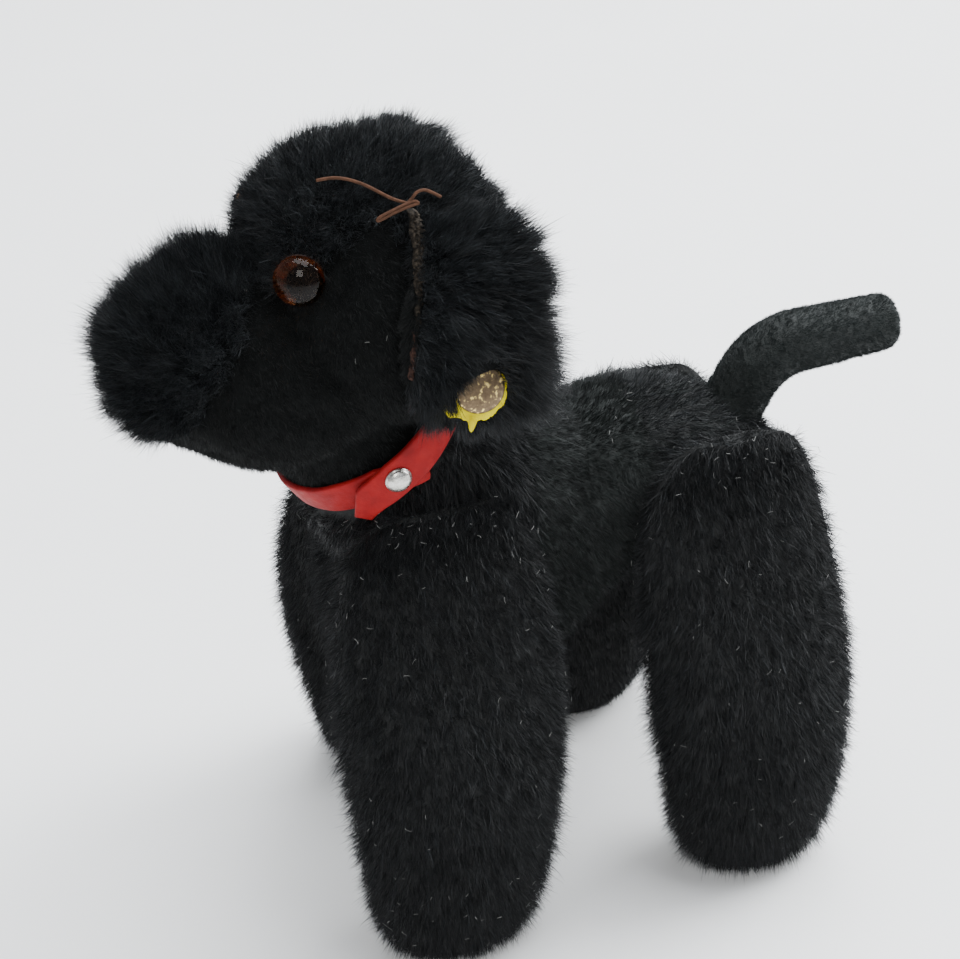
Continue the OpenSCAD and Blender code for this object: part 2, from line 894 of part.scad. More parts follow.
module leg_cover(leg) {
    color(mohair_black) difference() {
        soft() difference() {
            leg_form(leg, 0);
            leg_form(leg, -cover);
            at_leg_joint(leg) disc_pocket(cover);
            at_leg_joint(leg) cylinder(r = pin_r / 2, h = 6, center = true, $fn = 12);
        }
        at_leg_joint(leg) cylinder(r = pin_r + 0.05, h = 6, center = true, $fn = round_fn);
    }
}

module leg_filling(leg) {
    color(wool_tan) soft() difference() {
        leg_form(leg, -cover);
        at_leg_joint(leg) {
            translate([0, 0, -1]) cylinder(r = disc_r + play, h = 1 + cover + disc_thick, $fn = 32);
            cylinder(r = washer_r + 0.3, h = cover + disc_thick + head_thick, $fn = 32);
        }
    }
}

module leg_disc(leg) {
    color(board_brown) at_leg_joint(leg) translate([0, 0, cover]) tube(disc_r, pin_r + 0.05, disc_thick);
}

module leg_pin(leg) {
    color(steel) at_leg_joint(leg) {
        joint_pin(cover + disc_thick, leg_gap + cover + disc_thick + washer_thick + 0.1);
    }
}

module on_left() {
    place() children();
}

module on_right() {
    place() mirror([1, 0, 0]) children();
}

module leg_front_left() { on_left() leg_cover(front_left); }
module leg_front_left_filling() { on_left() leg_filling(front_left); }
module leg_front_left_disc() { on_left() leg_disc(front_left); }
module leg_front_left_pin() { on_left() leg_pin(front_left); }
module leg_front_right() { on_right() leg_cover(front_right); }
module leg_front_right_filling() { on_right() leg_filling(front_right); }
module leg_front_right_disc() { on_right() leg_disc(front_right); }
module leg_front_right_pin() { on_right() leg_pin(front_right); }
module leg_rear_left() { on_left() leg_cover(rear_left); }
module leg_rear_left_filling() { on_left() leg_filling(rear_left); }
module leg_rear_left_disc() { on_left() leg_disc(rear_left); }
module leg_rear_left_pin() { on_left() leg_pin(rear_left); }
module leg_rear_right() { on_right() leg_cover(rear_right); }
module leg_rear_right_filling() { on_right() leg_filling(rear_right); }
module leg_rear_right_disc() { on_right() leg_disc(rear_right); }
module leg_rear_right_pin() { on_right() leg_pin(rear_right); }

// ---------- nodes ----------

body_chest();
body_middle();
body_rump();
body_filling();
hip_discs();
hip_washers();
neck_disc_lower();
neck_washer();
tail_cover();
tail_core();
head_side_left();
head_side_right();
head_crown();
head_muzzle();
head_filling();
neck_disc_upper();
neck_pin();
eye_left();
eye_right();
eye_pupils();
eye_shanks();
nose();
ear_seam_strip();
repair_thread();
ear_left();
ear_left_lining();
ear_right();
ear_right_lining();
tag_disc();
tag_felt();
tag_rivet();
collar_strap();
collar_end();
collar_stud();
collar_stud_back();
leg_front_left();
leg_front_left_filling();
leg_front_left_disc();
leg_front_left_pin();
leg_front_right();
leg_front_right_filling();
leg_front_right_disc();
leg_front_right_pin();
leg_rear_left();
leg_rear_left_filling();
leg_rear_left_disc();
leg_rear_left_pin();
leg_rear_right();
leg_rear_right_filling();
leg_rear_right_disc();
leg_rear_right_pin();
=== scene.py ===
import math

import bmesh
import bpy
import numpy as np
from mathutils import Matrix, Vector, kdtree


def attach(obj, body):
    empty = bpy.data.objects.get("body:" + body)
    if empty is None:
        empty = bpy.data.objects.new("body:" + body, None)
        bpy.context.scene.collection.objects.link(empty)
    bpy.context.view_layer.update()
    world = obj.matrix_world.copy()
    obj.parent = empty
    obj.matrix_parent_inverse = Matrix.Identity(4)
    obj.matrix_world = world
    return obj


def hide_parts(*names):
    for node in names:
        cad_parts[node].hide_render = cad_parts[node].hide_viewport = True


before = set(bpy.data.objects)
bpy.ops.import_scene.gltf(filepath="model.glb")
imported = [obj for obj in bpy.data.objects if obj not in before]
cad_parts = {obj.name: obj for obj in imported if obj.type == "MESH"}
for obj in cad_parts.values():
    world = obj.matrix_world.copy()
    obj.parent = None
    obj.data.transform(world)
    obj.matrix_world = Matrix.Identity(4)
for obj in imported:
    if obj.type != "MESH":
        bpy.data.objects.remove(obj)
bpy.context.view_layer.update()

# Everything below is worked out in millimetres with -Y to the nose, +X to the toy's left and +Z up.
# STANCE moves it onto the row frame.
MM = 0.001
STANCE = 2.5
rng = np.random.default_rng(11)


# ---------- small helpers ----------


def ease(t):
    t = np.clip(t, 0, 1)
    return t * t * (3 - 2 * t)


def mix(a, b, t):
    return a + (b - a) * t


def spaced(n, low=0.004, high=0.996):
    t = (1 - np.cos(np.pi * np.arange(n + 1) / n)) / 2
    return low + (high - low) * t


def blunt(t, k):
    return (1 - np.abs(2 * t - 1) ** k) ** (1 / k)


def unit(v):
    v = np.asarray(v, float)
    return v / np.maximum(np.linalg.norm(v, axis=-1, keepdims=True), 1e-9)


def placed(name, data):
    """A new object in the scene that shows the given mesh."""
    obj = bpy.data.objects.new(name, data)
    bpy.context.scene.collection.objects.link(obj)
    return obj


def mesh_object(name, points, faces):
    """A smooth-shaded mesh from points in millimetres."""
    data = bpy.data.meshes.new(name)
    p = (np.asarray(points, float) + [0, STANCE, 0]) * MM
    data.from_pydata([tuple(q) for q in p], [], [tuple(int(i) for i in f) for f in faces])
    data.update()
    data.polygons.foreach_set("use_smooth", [True] * len(data.polygons))
    return placed(name, data)


def ring_faces(rings, sides):
    """The faces of a closed skin through rings of points, with a cap at each end."""
    faces = []
    for j in range(rings - 1):
        for i in range(sides):
            k = (i + 1) % sides
            faces.append((j * sides + i, j * sides + k, (j + 1) * sides + k, (j + 1) * sides + i))
    faces.append(tuple(range(sides - 1, -1, -1)))
    faces.append(tuple((rings - 1) * sides + i for i in range(sides)))
    return faces


def loft(name, centres, us, vs, sides):
    """A closed skin through rings: centres with half axes us and vs, one row for each ring."""
    a = np.linspace(0, 2 * np.pi, sides, endpoint=False)
    centres, us, vs = (np.asarray(x, float) for x in (centres, us, vs))
    across = us[:, None] * np.cos(a)[None, :, None]
    rings = centres[:, None] + across + vs[:, None] * np.sin(a)[None, :, None]
    return mesh_object(name, rings.reshape(-1, 3), ring_faces(len(centres), sides))


def along_x(values):
    return np.stack([values, 0 * values, 0 * values], 1)


def along_y(values):
    return np.stack([0 * values, values, 0 * values], 1)


def along_z(values):
    return np.stack([0 * values, 0 * values, values], 1)


def coords(obj):
    co = np.zeros(len(obj.data.vertices) * 3, np.float32)
    obj.data.vertices.foreach_get("co", co)
    return co.reshape(-1, 3).astype(float) / MM - [0, STANCE, 0]


def vertex_normals(obj):
    vn = np.zeros(len(obj.data.vertices) * 3, np.float32)
    obj.data.vertices.foreach_get("normal", vn)
    return vn.reshape(-1, 3).astype(float)


def set_coords(obj, points):
    p = (points + [0, STANCE, 0]) * MM
    obj.data.vertices.foreach_set("co", p.astype(np.float32).ravel())
    obj.data.update()


def applied(obj):
    """Replaces obj's mesh with the result of its modifiers."""
    dg = bpy.context.evaluated_depsgraph_get()
    data = bpy.data.meshes.new_from_object(obj.evaluated_get(dg))
    obj.modifiers.clear()
    old, obj.data = obj.data, data
    bpy.data.meshes.remove(old)
    return obj


def one_skin(name, parts, voxel, smoothing):
    """The outer skin of overlapping closed parts, as one even mesh."""
    bm = bmesh.new()
    for o in parts:
        bm.from_mesh(o.data)
        bpy.data.objects.remove(o)
    data = bpy.data.meshes.new(name)
    bm.to_mesh(data)
    bm.free()
    obj = placed(name, data)
    m = obj.modifiers.new("skin", "REMESH")
    m.mode = "VOXEL"
    m.voxel_size = voxel * MM
    m.use_smooth_shade = True
    s = obj.modifiers.new("smooth", "SMOOTH")
    s.factor = 0.5
    s.iterations = smoothing
    return applied(obj)


# ---------- materials ----------


def shader(name):
    mat = bpy.data.materials.new(name)
    mat.use_nodes = True
    nt = mat.node_tree
    return mat, nt, nt.nodes["Principled BSDF"]


def noise(nt, scale, detail=6.0, rough=0.6):
    at = nt.nodes.new("ShaderNodeTexCoord")
    tex = nt.nodes.new("ShaderNodeTexNoise")
    tex.inputs["Scale"].default_value = scale
    tex.inputs["Detail"].default_value = detail
    tex.inputs["Roughness"].default_value = rough
    nt.links.new(at.outputs["Object"], tex.inputs["Vector"])
    return tex


def ramp(nt, source, stops):
    r = nt.nodes.new("ShaderNodeValToRGB")
    while len(r.color_ramp.elements) < len(stops):
        r.color_ramp.elements.new(0.5)
    for e, (at, colour) in zip(r.color_ramp.elements, stops):
        e.position = at
        e.color = (*colour, 1)
    nt.links.new(source, r.inputs["Fac"])
    return r


def ranged(nt, source, low, high):
    m = nt.nodes.new("ShaderNodeMapRange")
    m.inputs["From Min"].default_value = 0.3
    m.inputs["From Max"].default_value = 0.7
    m.inputs["To Min"].default_value = low
    m.inputs["To Max"].default_value = high
    nt.links.new(source, m.inputs["Value"])
    return m


def bumped(nt, bsdf, source, depth, strength=0.6):
    b = nt.nodes.new("ShaderNodeBump")
    b.inputs["Strength"].default_value = strength
    b.inputs["Distance"].default_value = depth
    nt.links.new(source, b.inputs["Height"])
    nt.links.new(b.outputs["Normal"], bsdf.inputs["Normal"])


def mottled(name, stops, scale, rough=(0.5, 0.8), depth=0.0002, grain=4000, metallic=0.0, **sockets):
    """A surface whose colour wanders between stops, with its own roughness and grain."""
    mat, nt, bsdf = shader(name)
    broad = noise(nt, scale)
    nt.links.new(ramp(nt, broad.outputs["Fac"], stops).outputs["Color"], bsdf.inputs["Base Color"])
    fine = noise(nt, scale * 3.1, 8.0)
    nt.links.new(ranged(nt, fine.outputs["Fac"], *rough).outputs["Result"], bsdf.inputs["Roughness"])
    tooth = noise(nt, grain, 3.0)
    bumped(nt, bsdf, tooth.outputs["Fac"], depth)
    bsdf.inputs["Metallic"].default_value = metallic
    for k, v in sockets.items():
        bsdf.inputs[k.replace("_", " ").title().replace("Ior", "IOR")].default_value = v
    return mat


def hair(name, colour, rough, sheen=0.25):
    """Hair: one fibre colour, with its gloss and sheen wandering along the coat."""
    mat, nt, bsdf = shader(name)
    bsdf.inputs["Base Color"].default_value = (*colour, 1)
    coat = noise(nt, 260, 5.0).outputs["Fac"]
    gloss = ranged(nt, coat, rough - 0.12, rough + 0.12)
    bloom = ranged(nt, coat, sheen * 0.3, sheen * 1.6)
    nt.links.new(gloss.outputs["Result"], bsdf.inputs["Roughness"])
    nt.links.new(bloom.outputs["Result"], bsdf.inputs["Sheen Weight"])
    bsdf.inputs["Sheen Roughness"].default_value = 0.35
    bsdf.inputs["Sheen Tint"].default_value = (0.55, 0.62, 0.66, 1)
    bsdf.inputs["Specular IOR Level"].default_value = 0.22
    return mat


MOHAIR = [
    hair("mohair_black", (0.0032, 0.0034, 0.0038), 0.50, 0.06),
    hair("mohair_slate", (0.0070, 0.0080, 0.0088), 0.45, 0.10),
    hair("mohair_grey", (0.022, 0.025, 0.028), 0.5, 0.16),
]
# A darker copy of the short pile for the cheeks and the ears' front edges: partly the cheek pile's own darker
# tone, partly painted shade that holds them dark against the light bounced up from the floor.
FACE_PILE_SHADED = [
    hair("face_black_painted_shade", (0.0013, 0.0015, 0.0014), 0.65, 0.02),
    hair("face_green_painted_shade", (0.0034, 0.0046, 0.0043), 0.65, 0.04),
    hair("face_dust_painted_shade", (0.020, 0.024, 0.022), 0.6, 0.12),
]
# A lighter copy of the short pile for the tail: painted light, for the tail taking more of the light from
# above and behind.
VELVET_PAINTED_LIGHT = [
    hair("velvet_green_painted_light", (0.0090, 0.0120, 0.0115), 0.6, 0.10),
    hair("velvet_slate_painted_light", (0.0150, 0.0190, 0.0190), 0.6, 0.12),
    hair("velvet_dust_painted_light", (0.040, 0.046, 0.044), 0.6, 0.16),
]
# A lighter copy of the coat's mohair for the crown, muzzle and ears, used there with a lighter mix of its
# shades: painted light, for the head and ears taking more of the light from above and behind than the legs.
HEAD_MOHAIR_PAINTED_LIGHT = [
    hair("head_black_painted_light", (0.0046, 0.0050, 0.0056), 0.50, 0.08),
    hair("head_slate_painted_light", (0.0105, 0.0120, 0.0132), 0.45, 0.12),
    hair("head_grey_painted_light", (0.030, 0.034, 0.038), 0.5, 0.16),
]
PILE = [
    hair("pile_black", (0.0022, 0.0025, 0.0024), 0.6, 0.03),
    hair("pile_green", (0.0062, 0.0088, 0.0080), 0.6, 0.07),
    hair("pile_dust", (0.030, 0.036, 0.033), 0.6, 0.16),
]
CLOTH = mottled(
    "backing_cloth", [(0.3, (0.0030, 0.0033, 0.0033)), (0.7, (0.0065, 0.0074, 0.0072))],
    300, (0.75, 0.95), 0.0002, 5200,
)
# Darker copies of the backing cloth for the head and the ears: painted shade, so that the skin between the
# hairs stays as dark as it would lie in the shade of a full coat.
FACE_CLOTH_SHADED = mottled(
    "face_cloth_painted_shade", [(0.3, (0.0012, 0.0014, 0.0014)), (0.7, (0.0028, 0.0033, 0.0032))],
    300, (0.85, 0.98), 0.0002, 5200, specular_ior_level=0.1,
)
EAR_CLOTH_SHADED = mottled(
    "ear_cloth_painted_shade", [(0.3, (0.0010, 0.0011, 0.0012)), (0.7, (0.0024, 0.0027, 0.0028))],
    300, (0.85, 0.98), 0.0002, 5200, specular_ior_level=0.1,
)
CLOTH_WORN = mottled(
    "worn_pile_cloth", [(0.3, (0.0040, 0.0056, 0.0050)), (0.7, (0.0085, 0.0118, 0.0105))],
    240, (0.75, 0.95), 0.0003, 4600,
)


# ---------- fur ----------


def fur(
    name, skin, body, count, length, lay, mats, shades=(0.7, 0.26, 0.04), width=0.1, stand=1.0, lean=0.4,
    spread=0.35, bend=0.35, clump=0.5, clump_size=1.6, where=None, density=None, rings=2, seed=1,
):
    """Hairs over a skin as thin tapered blades, gathered into locks. length and where take roots and
    normals; lay takes the same and gives the way the pile has been brushed."""
    r = np.random.default_rng(seed)
    me = skin.data
    me.calc_loop_triangles()
    tri = np.zeros(len(me.loop_triangles) * 3, np.int32)
    me.loop_triangles.foreach_get("vertices", tri)
    tri = tri.reshape(-1, 3)
    co = coords(skin)
    vn = vertex_normals(skin)
    a, b, c = co[tri[:, 0]], co[tri[:, 1]], co[tri[:, 2]]
    area = np.linalg.norm(np.cross(b - a, c - a), axis=1) / 2
    mid = (a + b + c) / 3
    mid_n = unit(vn[tri].mean(1))
    weight = area.copy()
    if where is not None:
        weight = weight * np.clip(where(mid, mid_n), 0, 1)
    if density is not None:
        weight = weight * density(mid, mid_n)
    pick = r.choice(len(tri), count, p=weight / weight.sum())
    u, v = r.random(count), r.random(count)
    flip = u + v > 1
    u[flip], v[flip] = 1 - u[flip], 1 - v[flip]
    w = 1 - u - v
    root = a[pick] * w[:, None] + b[pick] * u[:, None] + c[pick] * v[:, None]
    ta, tb, tc = vn[tri[pick, 0]], vn[tri[pick, 1]], vn[tri[pick, 2]]
    normal = unit(ta * w[:, None] + tb * u[:, None] + tc * v[:, None])
    size = length(root, normal) * r.uniform(0.62, 1.12, count)
    size = size * np.where(r.random(count) < 0.03, 1.25, 1.0)
    # locks: each hair belongs to the nearest of some centres, which lean their own ways
    locks = max(3, int(area[weight > 0].sum() / clump_size**2))
    centre = root[r.choice(count, min(locks, count), replace=False)]
    tree = kdtree.KDTree(len(centre))
    for i, p in enumerate(centre):
        tree.insert(p, i)
    tree.balance()
    lock = np.array([tree.find(p)[1] for p in root])
    lock_lean = r.normal(0, 1, (len(centre), 3))
    lock_size = r.uniform(0.78, 1.15, len(centre))
    size = size * lock_size[lock]
    brushed = lay(root, normal)
    ruffled = lock_lean[lock] * spread * 0.5
    stray = r.normal(0, 1, (count, 3)) * spread * 0.6
    start = unit(normal * stand + brushed * lean + ruffled + stray)
    sink = (start * normal).sum(1)
    start = unit(start + normal * np.maximum(0, 0.25 - sink)[:, None])
    pull = (centre[lock] - root) + lock_lean[lock] * 0.25
    curl = brushed * bend + r.normal(0, 0.22, (count, 3)) + np.array([0, 0, -0.12])
    steps = np.linspace(0, 1, rings + 1)
    line = [
        root - normal * 0.15
        + start * (size * s)[:, None]
        + curl * (size * s * s * 0.6)[:, None]
        + pull * (clump * s**1.4)
        for s in steps
    ]
    flat = unit(np.cross(start, r.normal(0, 1, (count, 3))))
    half = width * r.uniform(0.7, 1.3, count) / 2
    rows = []
    for i, s in enumerate(steps[:-1]):
        k = (half * (1 - 0.55 * s))[:, None]
        rows += [line[i] - flat * k, line[i] + flat * k]
    points = np.stack(rows + [line[-1]], 1)
    # no hair reaches below the surface that the toy stands on
    points[:, :, 2] = np.maximum(points[:, :, 2], 0.04)
    per = points.shape[1]
    base = np.arange(count)[:, None] * per
    quads = [base + np.array([[2 * i, 2 * i + 1, 2 * i + 3, 2 * i + 2]]) for i in range(rings - 1)]
    tips = base + np.array([[2 * rings - 2, 2 * rings - 1, 2 * rings]])
    loops = np.concatenate([np.stack(quads, 1).reshape(count, -1), tips], 1).ravel()
    totals = np.tile(np.array([4] * (rings - 1) + [3]), count)
    starts = np.concatenate([[0], np.cumsum(totals)[:-1]])
    data = bpy.data.meshes.new(name)
    data.vertices.add(count * per)
    placed_points = (points.reshape(-1, 3) + [0, STANCE, 0]) * MM
    data.vertices.foreach_set("co", placed_points.astype(np.float32).ravel())
    data.loops.add(len(loops))
    data.loops.foreach_set("vertex_index", loops.astype(np.int32))
    data.polygons.add(len(totals))
    data.polygons.foreach_set("loop_start", starts.astype(np.int32))
    data.update(calc_edges=True)
    for m in mats:
        data.materials.append(m)
    tone = r.choice(len(mats), count, p=np.array(shades) / sum(shades))
    data.polygons.foreach_set("material_index", np.repeat(tone, rings).astype(np.int32))
    data.polygons.foreach_set("use_smooth", np.ones(len(totals), bool))
    data.update()
    obj = placed(name, data)
    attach(obj, body)
    return obj


def steady(*direction):
    """A brushing direction that is the same everywhere, laid along the skin."""
    d = unit(direction)
    return lambda p, n: unit(d - n * (n @ d)[:, None])


def stuffed(obj, pin, press=1.0, frames=14):
    """Fills a sewn skin: cloth under pressure from inside, held where pin is 1. The result is kept."""
    keep = coords(obj)
    group = obj.vertex_groups.new(name="pin")
    for i, w in enumerate(pin(keep)):
        group.add([i], float(w), "REPLACE")
    m = obj.modifiers.new("fill", "CLOTH")
    s = m.settings
    s.quality = 5
    s.mass = 0.0002
    s.tension_stiffness = s.compression_stiffness = 12
    s.shear_stiffness = 6
    s.bending_stiffness = 0.4
    s.tension_damping = s.compression_damping = 8
    s.vertex_group_mass = "pin"
    s.use_pressure = True
    s.uniform_pressure_force = press
    s.shrink_min = -0.01
    s.effector_weights.gravity = 0.15
    m.collision_settings.use_collision = False
    m.collision_settings.use_self_collision = False
    m.point_cache.frame_start = 1
    m.point_cache.frame_end = frames
    for f in range(1, frames + 1):
        bpy.context.scene.frame_set(f)
    applied(obj)
    bpy.context.scene.frame_set(1)
    moved = coords(obj) - keep
    far = np.linalg.norm(moved, axis=1, keepdims=True)
    set_coords(obj, keep + moved * np.minimum(1, 1.2 / np.maximum(far, 1e-6)))
    print(obj.name, "filled; skin moved by up to", round(float(far.max()), 2), "mm")
    return obj


# ---------- the shapes of the toy, from the CAD part's own sizes ----------

NECK_LEAN = math.radians(36)
NECK_AT = np.array([0, -32.6, 95.0])
NECK_AXIS = np.array([0, -math.sin(NECK_LEAN), math.cos(NECK_LEAN)])
NECK_BACK = np.array([0, math.cos(NECK_LEAN), math.sin(NECK_LEAN)])
NECK_R = 15.4
FLANK = 15.4
LEG_INNER = 15.8


def in_neck(p):
    """x, back, up in the neck's own frame."""
    q = p - NECK_AT
    return np.stack([q[:, 0], q @ NECK_BACK, q @ NECK_AXIS], 1)


def neck_loft(name, heights, wide, deep, back, sides=64):
    heights = np.asarray(heights, float)
    c = NECK_AT + heights[:, None] * NECK_AXIS + np.asarray(back, float)[:, None] * NECK_BACK
    depth = np.asarray(deep, float)[:, None] * NECK_BACK
    return loft(name, c, along_x(np.asarray(wide, float)), depth, sides)


def torso_skin():
    t = spaced(40)
    y = mix(-40.5, 44.5, t)
    k = blunt(t, np.where(t < 0.5, 2.9, 3.3))
    low = 41 + 18 * ease((y + 8) / 21) - 6 * ease((y - 14) / 8)
    high = 85 + 5 * np.sin(2 * np.pi * (t - 0.42))
    mid = (low + high) / 2
    trunk = loft("trunk", np.stack([0 * y, y, mid], 1), along_x(18.4 * k), along_z((low - high) / 2 * k), 64)
    s = np.linspace(0, 1, 9)
    withers = neck_loft(
        "withers", mix(-30, -4.6, s), mix(16.4, NECK_R + 2.2, s),
        mix(21, NECK_R + 2.8, ease(s)), mix(5, 0, ease(s)),
    )
    stub = neck_loft("stub", [-14, -0.2], [NECK_R] * 2, [NECK_R] * 2, [0, 0])
    skin = one_skin("torso_skin", [trunk, withers, stub], 1.1, 8)
    p = coords(skin)
    p[:, 0] = np.clip(p[:, 0], -FLANK, FLANK)
    set_coords(skin, p)
    return skin


def head_skin():
    t = spaced(40)
    y = mix(-31.3 - 19.2, -31.3 + 22.8, t)
    k = blunt(t, np.where(t < 0.5, 2.7, 2.25))
    skull = loft("skull", np.stack([0 * y, y, 122.6 - 4.6 * t], 1), along_x(21.5 * k), along_z(-23.8 * k), 64)
    y = mix(-73, -27.3, t)
    k = blunt(t, 2.6)
    wide = mix(14, 20.5, ease(t))
    top = mix(128.2, 134.4, ease(t))
    jaw = np.interp(t, [0, 0.25, 0.5, 1], [101.0, 95.8, 92.8, 92.0])
    middle = np.stack([0 * y, y, (top + jaw) / 2], 1)
    muzzle = loft("muzzle", middle, along_x(wide * k), along_z((jaw - top) / 2 * k), 64)
    stub = neck_loft("stub", [0.2, 12], [NECK_R] * 2, [NECK_R] * 2, [0, 0])
    skin = one_skin("head_skin", [skull, muzzle, stub], 1.05, 8)
    p = coords(skin)
    q = in_neck(p)
    low = (q[:, 2] < 4.4) & (np.hypot(q[:, 0], q[:, 1]) > NECK_R + 0.2)
    p[low] += (4.4 - q[low, 2])[:, None] * NECK_AXIS
    set_coords(skin, p)
    return skin


# For each leg: its side, how far back its foot and its top lie, its half length at the foot and at the
# top, and its height.
LEGS = {
    "leg_front_left": (1, -27.8, -27.0, 16.8, 18.6, 88.0),
    "leg_front_right": (-1, -22.0, -26.0, 14.6, 16.5, 86.0),
    "leg_rear_left": (1, 32.6, 27.6, 17.4, 18.0, 89.0),
    "leg_rear_right": (-1, 18.5, 27.0, 16.6, 16.5, 83.5),
}


def leg_skin(name):
    side, foot, top, foot_half, top_half, high = LEGS[name]
    front = "front" in name
    t = spaced(60, 0.004, 0.99)
    z = -2.5 + (high + 2.5) * t
    ends = np.where(t < 0.5, 3.0 if front else 2.9, 3.4 if front else 3.2)
    k = blunt(t, ends)
    deep = mix(foot_half, top_half, ease((t - 0.1) / 0.55))
    y = mix(foot, top, np.minimum(1, t * 1.25))
    thick = mix(12, 2.9, ease((t - 0.42) / 0.57))
    skin = loft(name + "_skin", np.stack([14.5 + thick, y, z], 1), along_x(thick * k), along_y(deep * k), 72)
    p = coords(skin)
    p[:, 0] = np.maximum(p[:, 0], LEG_INNER)
    p[:, 2] = np.maximum(p[:, 2], 0.25)
    p[:, 0] *= side
    set_coords(skin, p)
    if side < 0:
        skin.data.flip_normals()
    return skin


def guide_x(y, z, gap):
    """How far out the ear's guide surface stands at y, z, gap outside the head."""
    a = (y + 27.3) / (27.8 + gap)
    b = (z - 118.5) / (25.8 + gap)
    k = np.maximum(0, 1 - np.abs(a) ** 2.3) ** (1 / 2.3)
    return (21.5 + gap) * k * np.sqrt(np.maximum(0.0, 1 - (b / np.maximum(k, 1e-6)) ** 2))


def ear_rim(sides):
    """The ear's outline round its middle, as seen from the side."""
    wide = 10.75
    circles = [
        (-34 + wide, 108.5 + wide, wide),
        (-34 + 21.5 - wide, 138.5 - wide - 4, wide),
        (-29.5 + 2, 136.5, 2),
        (-29.5 + 11, 131.5, 7),
    ]
    middle = np.array([-22.3, 122.5])
    a = np.linspace(0, 2 * np.pi, sides, endpoint=False)
    d = np.stack([np.cos(a), np.sin(a)], 1)
    # the hull's support, then the reach along each ray
    fine = np.linspace(0, 2 * np.pi, 720, endpoint=False)
    n = np.stack([np.cos(fine), np.sin(fine)], 1)
    support = np.max([(np.array(c[:2]) - middle) @ n.T + c[2] for c in circles], axis=0)
    dots = d @ n.T
    reach = np.min(np.where(dots > 0.05, support[None, :] / np.maximum(dots, 0.05), 1e9), axis=1)
    drawn_in = 1 - 0.16 * ease((d[:, 0] + 0.1) / 0.8) * ease((d[:, 1] + 0.9) / 0.6)
    hanging = 2.6 * ease((-d[:, 1] - 0.3) / 0.5) * ease((d[:, 0] + 0.6) / 0.6)
    reach = reach * drawn_in + hanging
    return middle, d, reach


def ear_skin(side):
    sides, rings = 80, 16
    middle, d, reach = ear_rim(sides)
    points = []
    for layer in (1, 0):
        for j in range(rings + 1) if layer else range(rings - 1, -1, -1):
            s = j / rings
            yz = middle + d * (reach * s)[:, None]
            swell = np.sqrt(max(0.0, 1 - s**4))
            gap = 1.4 + (0.35 + 3.1 * swell if layer else 0.35 - 0.35 * swell)
            x = guide_x(yz[:, 0], yz[:, 1], gap)
            points.append(np.stack([np.maximum(x, 9.0), yz[:, 0], yz[:, 1]], 1))
    points = np.concatenate(points)
    n = len(points) // sides
    faces = [
        (j * sides + i, (j + 1) * sides + i, (j + 1) * sides + (i + 1) % sides, j * sides + (i + 1) % sides)
        for j in range(n - 1)
        for i in range(sides)
    ]
    points[:, 0] *= side
    skin = mesh_object(("ear_left" if side > 0 else "ear_right") + "_skin", points, faces)
    bm = bmesh.new()
    bm.from_mesh(skin.data)
    bmesh.ops.remove_doubles(bm, verts=bm.verts, dist=0.00002)
    bmesh.ops.recalc_face_normals(bm, faces=bm.faces)
    bm.to_mesh(skin.data)
    bm.free()
    return skin


def tail_course():
    """Points and directions along the tail's middle: straight, a bend, and straight again."""
    rise, end, bend = math.radians(62), math.radians(1), 11.0
    turn = rise - end
    root = np.array([0, 35.0, 81.2])
    back = np.array([0, math.sin(rise), -math.cos(rise)])
    up = np.array([0, math.cos(rise), math.sin(rise)])
    out = []
    for d in np.concatenate([np.linspace(-1, 7.5, 6), 7.5 + bend * turn * np.arange(1, 13) / 12]):
        a = min(turn, max(0, (d - 7.5) / bend))
        c = root + back * bend * (1 - math.cos(a)) + up * (min(d, 7.5) + bend * math.sin(a))
        out.append((c, back * math.cos(a) - up * math.sin(a), back * math.sin(a) + up * math.cos(a), 5.5))
    c, v, t, _ = out[-1]
    for s in np.linspace(1.5, 17.2, 10):
        out.append((c + t * s, v, t, 5.5 - 0.5 * s / 17.2))
    for a in np.radians([15, 30, 45, 60, 75, 88]):
        out.append((c + t * (17.2 + 1.7 * math.sin(a)), v, t, 3.3 + 1.7 * math.cos(a)))
    out.append((c + t * 18.92, v, t, 1.2))
    return out


def tail_skin():
    course = tail_course()
    c = np.array([s[0] for s in course])
    r = np.array([s[3] for s in course])
    v = np.array([s[1] for s in course])
    return loft("tail_skin", c, along_x(r), v * r[:, None], 40)


# ---------- padded skins ----------


def finish_skin(obj, body, mats, nodes):
    obj.data.materials.clear()
    for m in mats:
        obj.data.materials.append(m)
    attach(obj, body)
    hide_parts(*nodes)


torso = torso_skin()
stuffed(
    torso,
    lambda p: ((np.abs(p[:, 0]) > FLANK - 0.3) | (in_neck(p)[:, 2] > -5.5)).astype(float),
    0.6,
)
p = coords(torso)
p[:, 0] = np.clip(p[:, 0], -FLANK, FLANK)
set_coords(torso, p)
for q in torso.data.polygons:
    y = q.center.y / MM - STANCE
    q.material_index = 1 if -9 < y < 14 else 0
worn = [q.material_index for q in torso.data.polygons]
finish_skin(
    torso, "torso", [CLOTH, CLOTH_WORN],
    ["body_chest", "body_middle", "body_rump", "body_filling"],
)
torso.data.polygons.foreach_set("material_index", worn)

head = head_skin()
stuffed(head, lambda p: (in_neck(p)[:, 2] < 5.0).astype(float), 0.6)
finish_skin(
    head, "head", [FACE_CLOTH_SHADED],
    ["head_side_left", "head_side_right", "head_crown", "head_muzzle", "head_filling"],
)

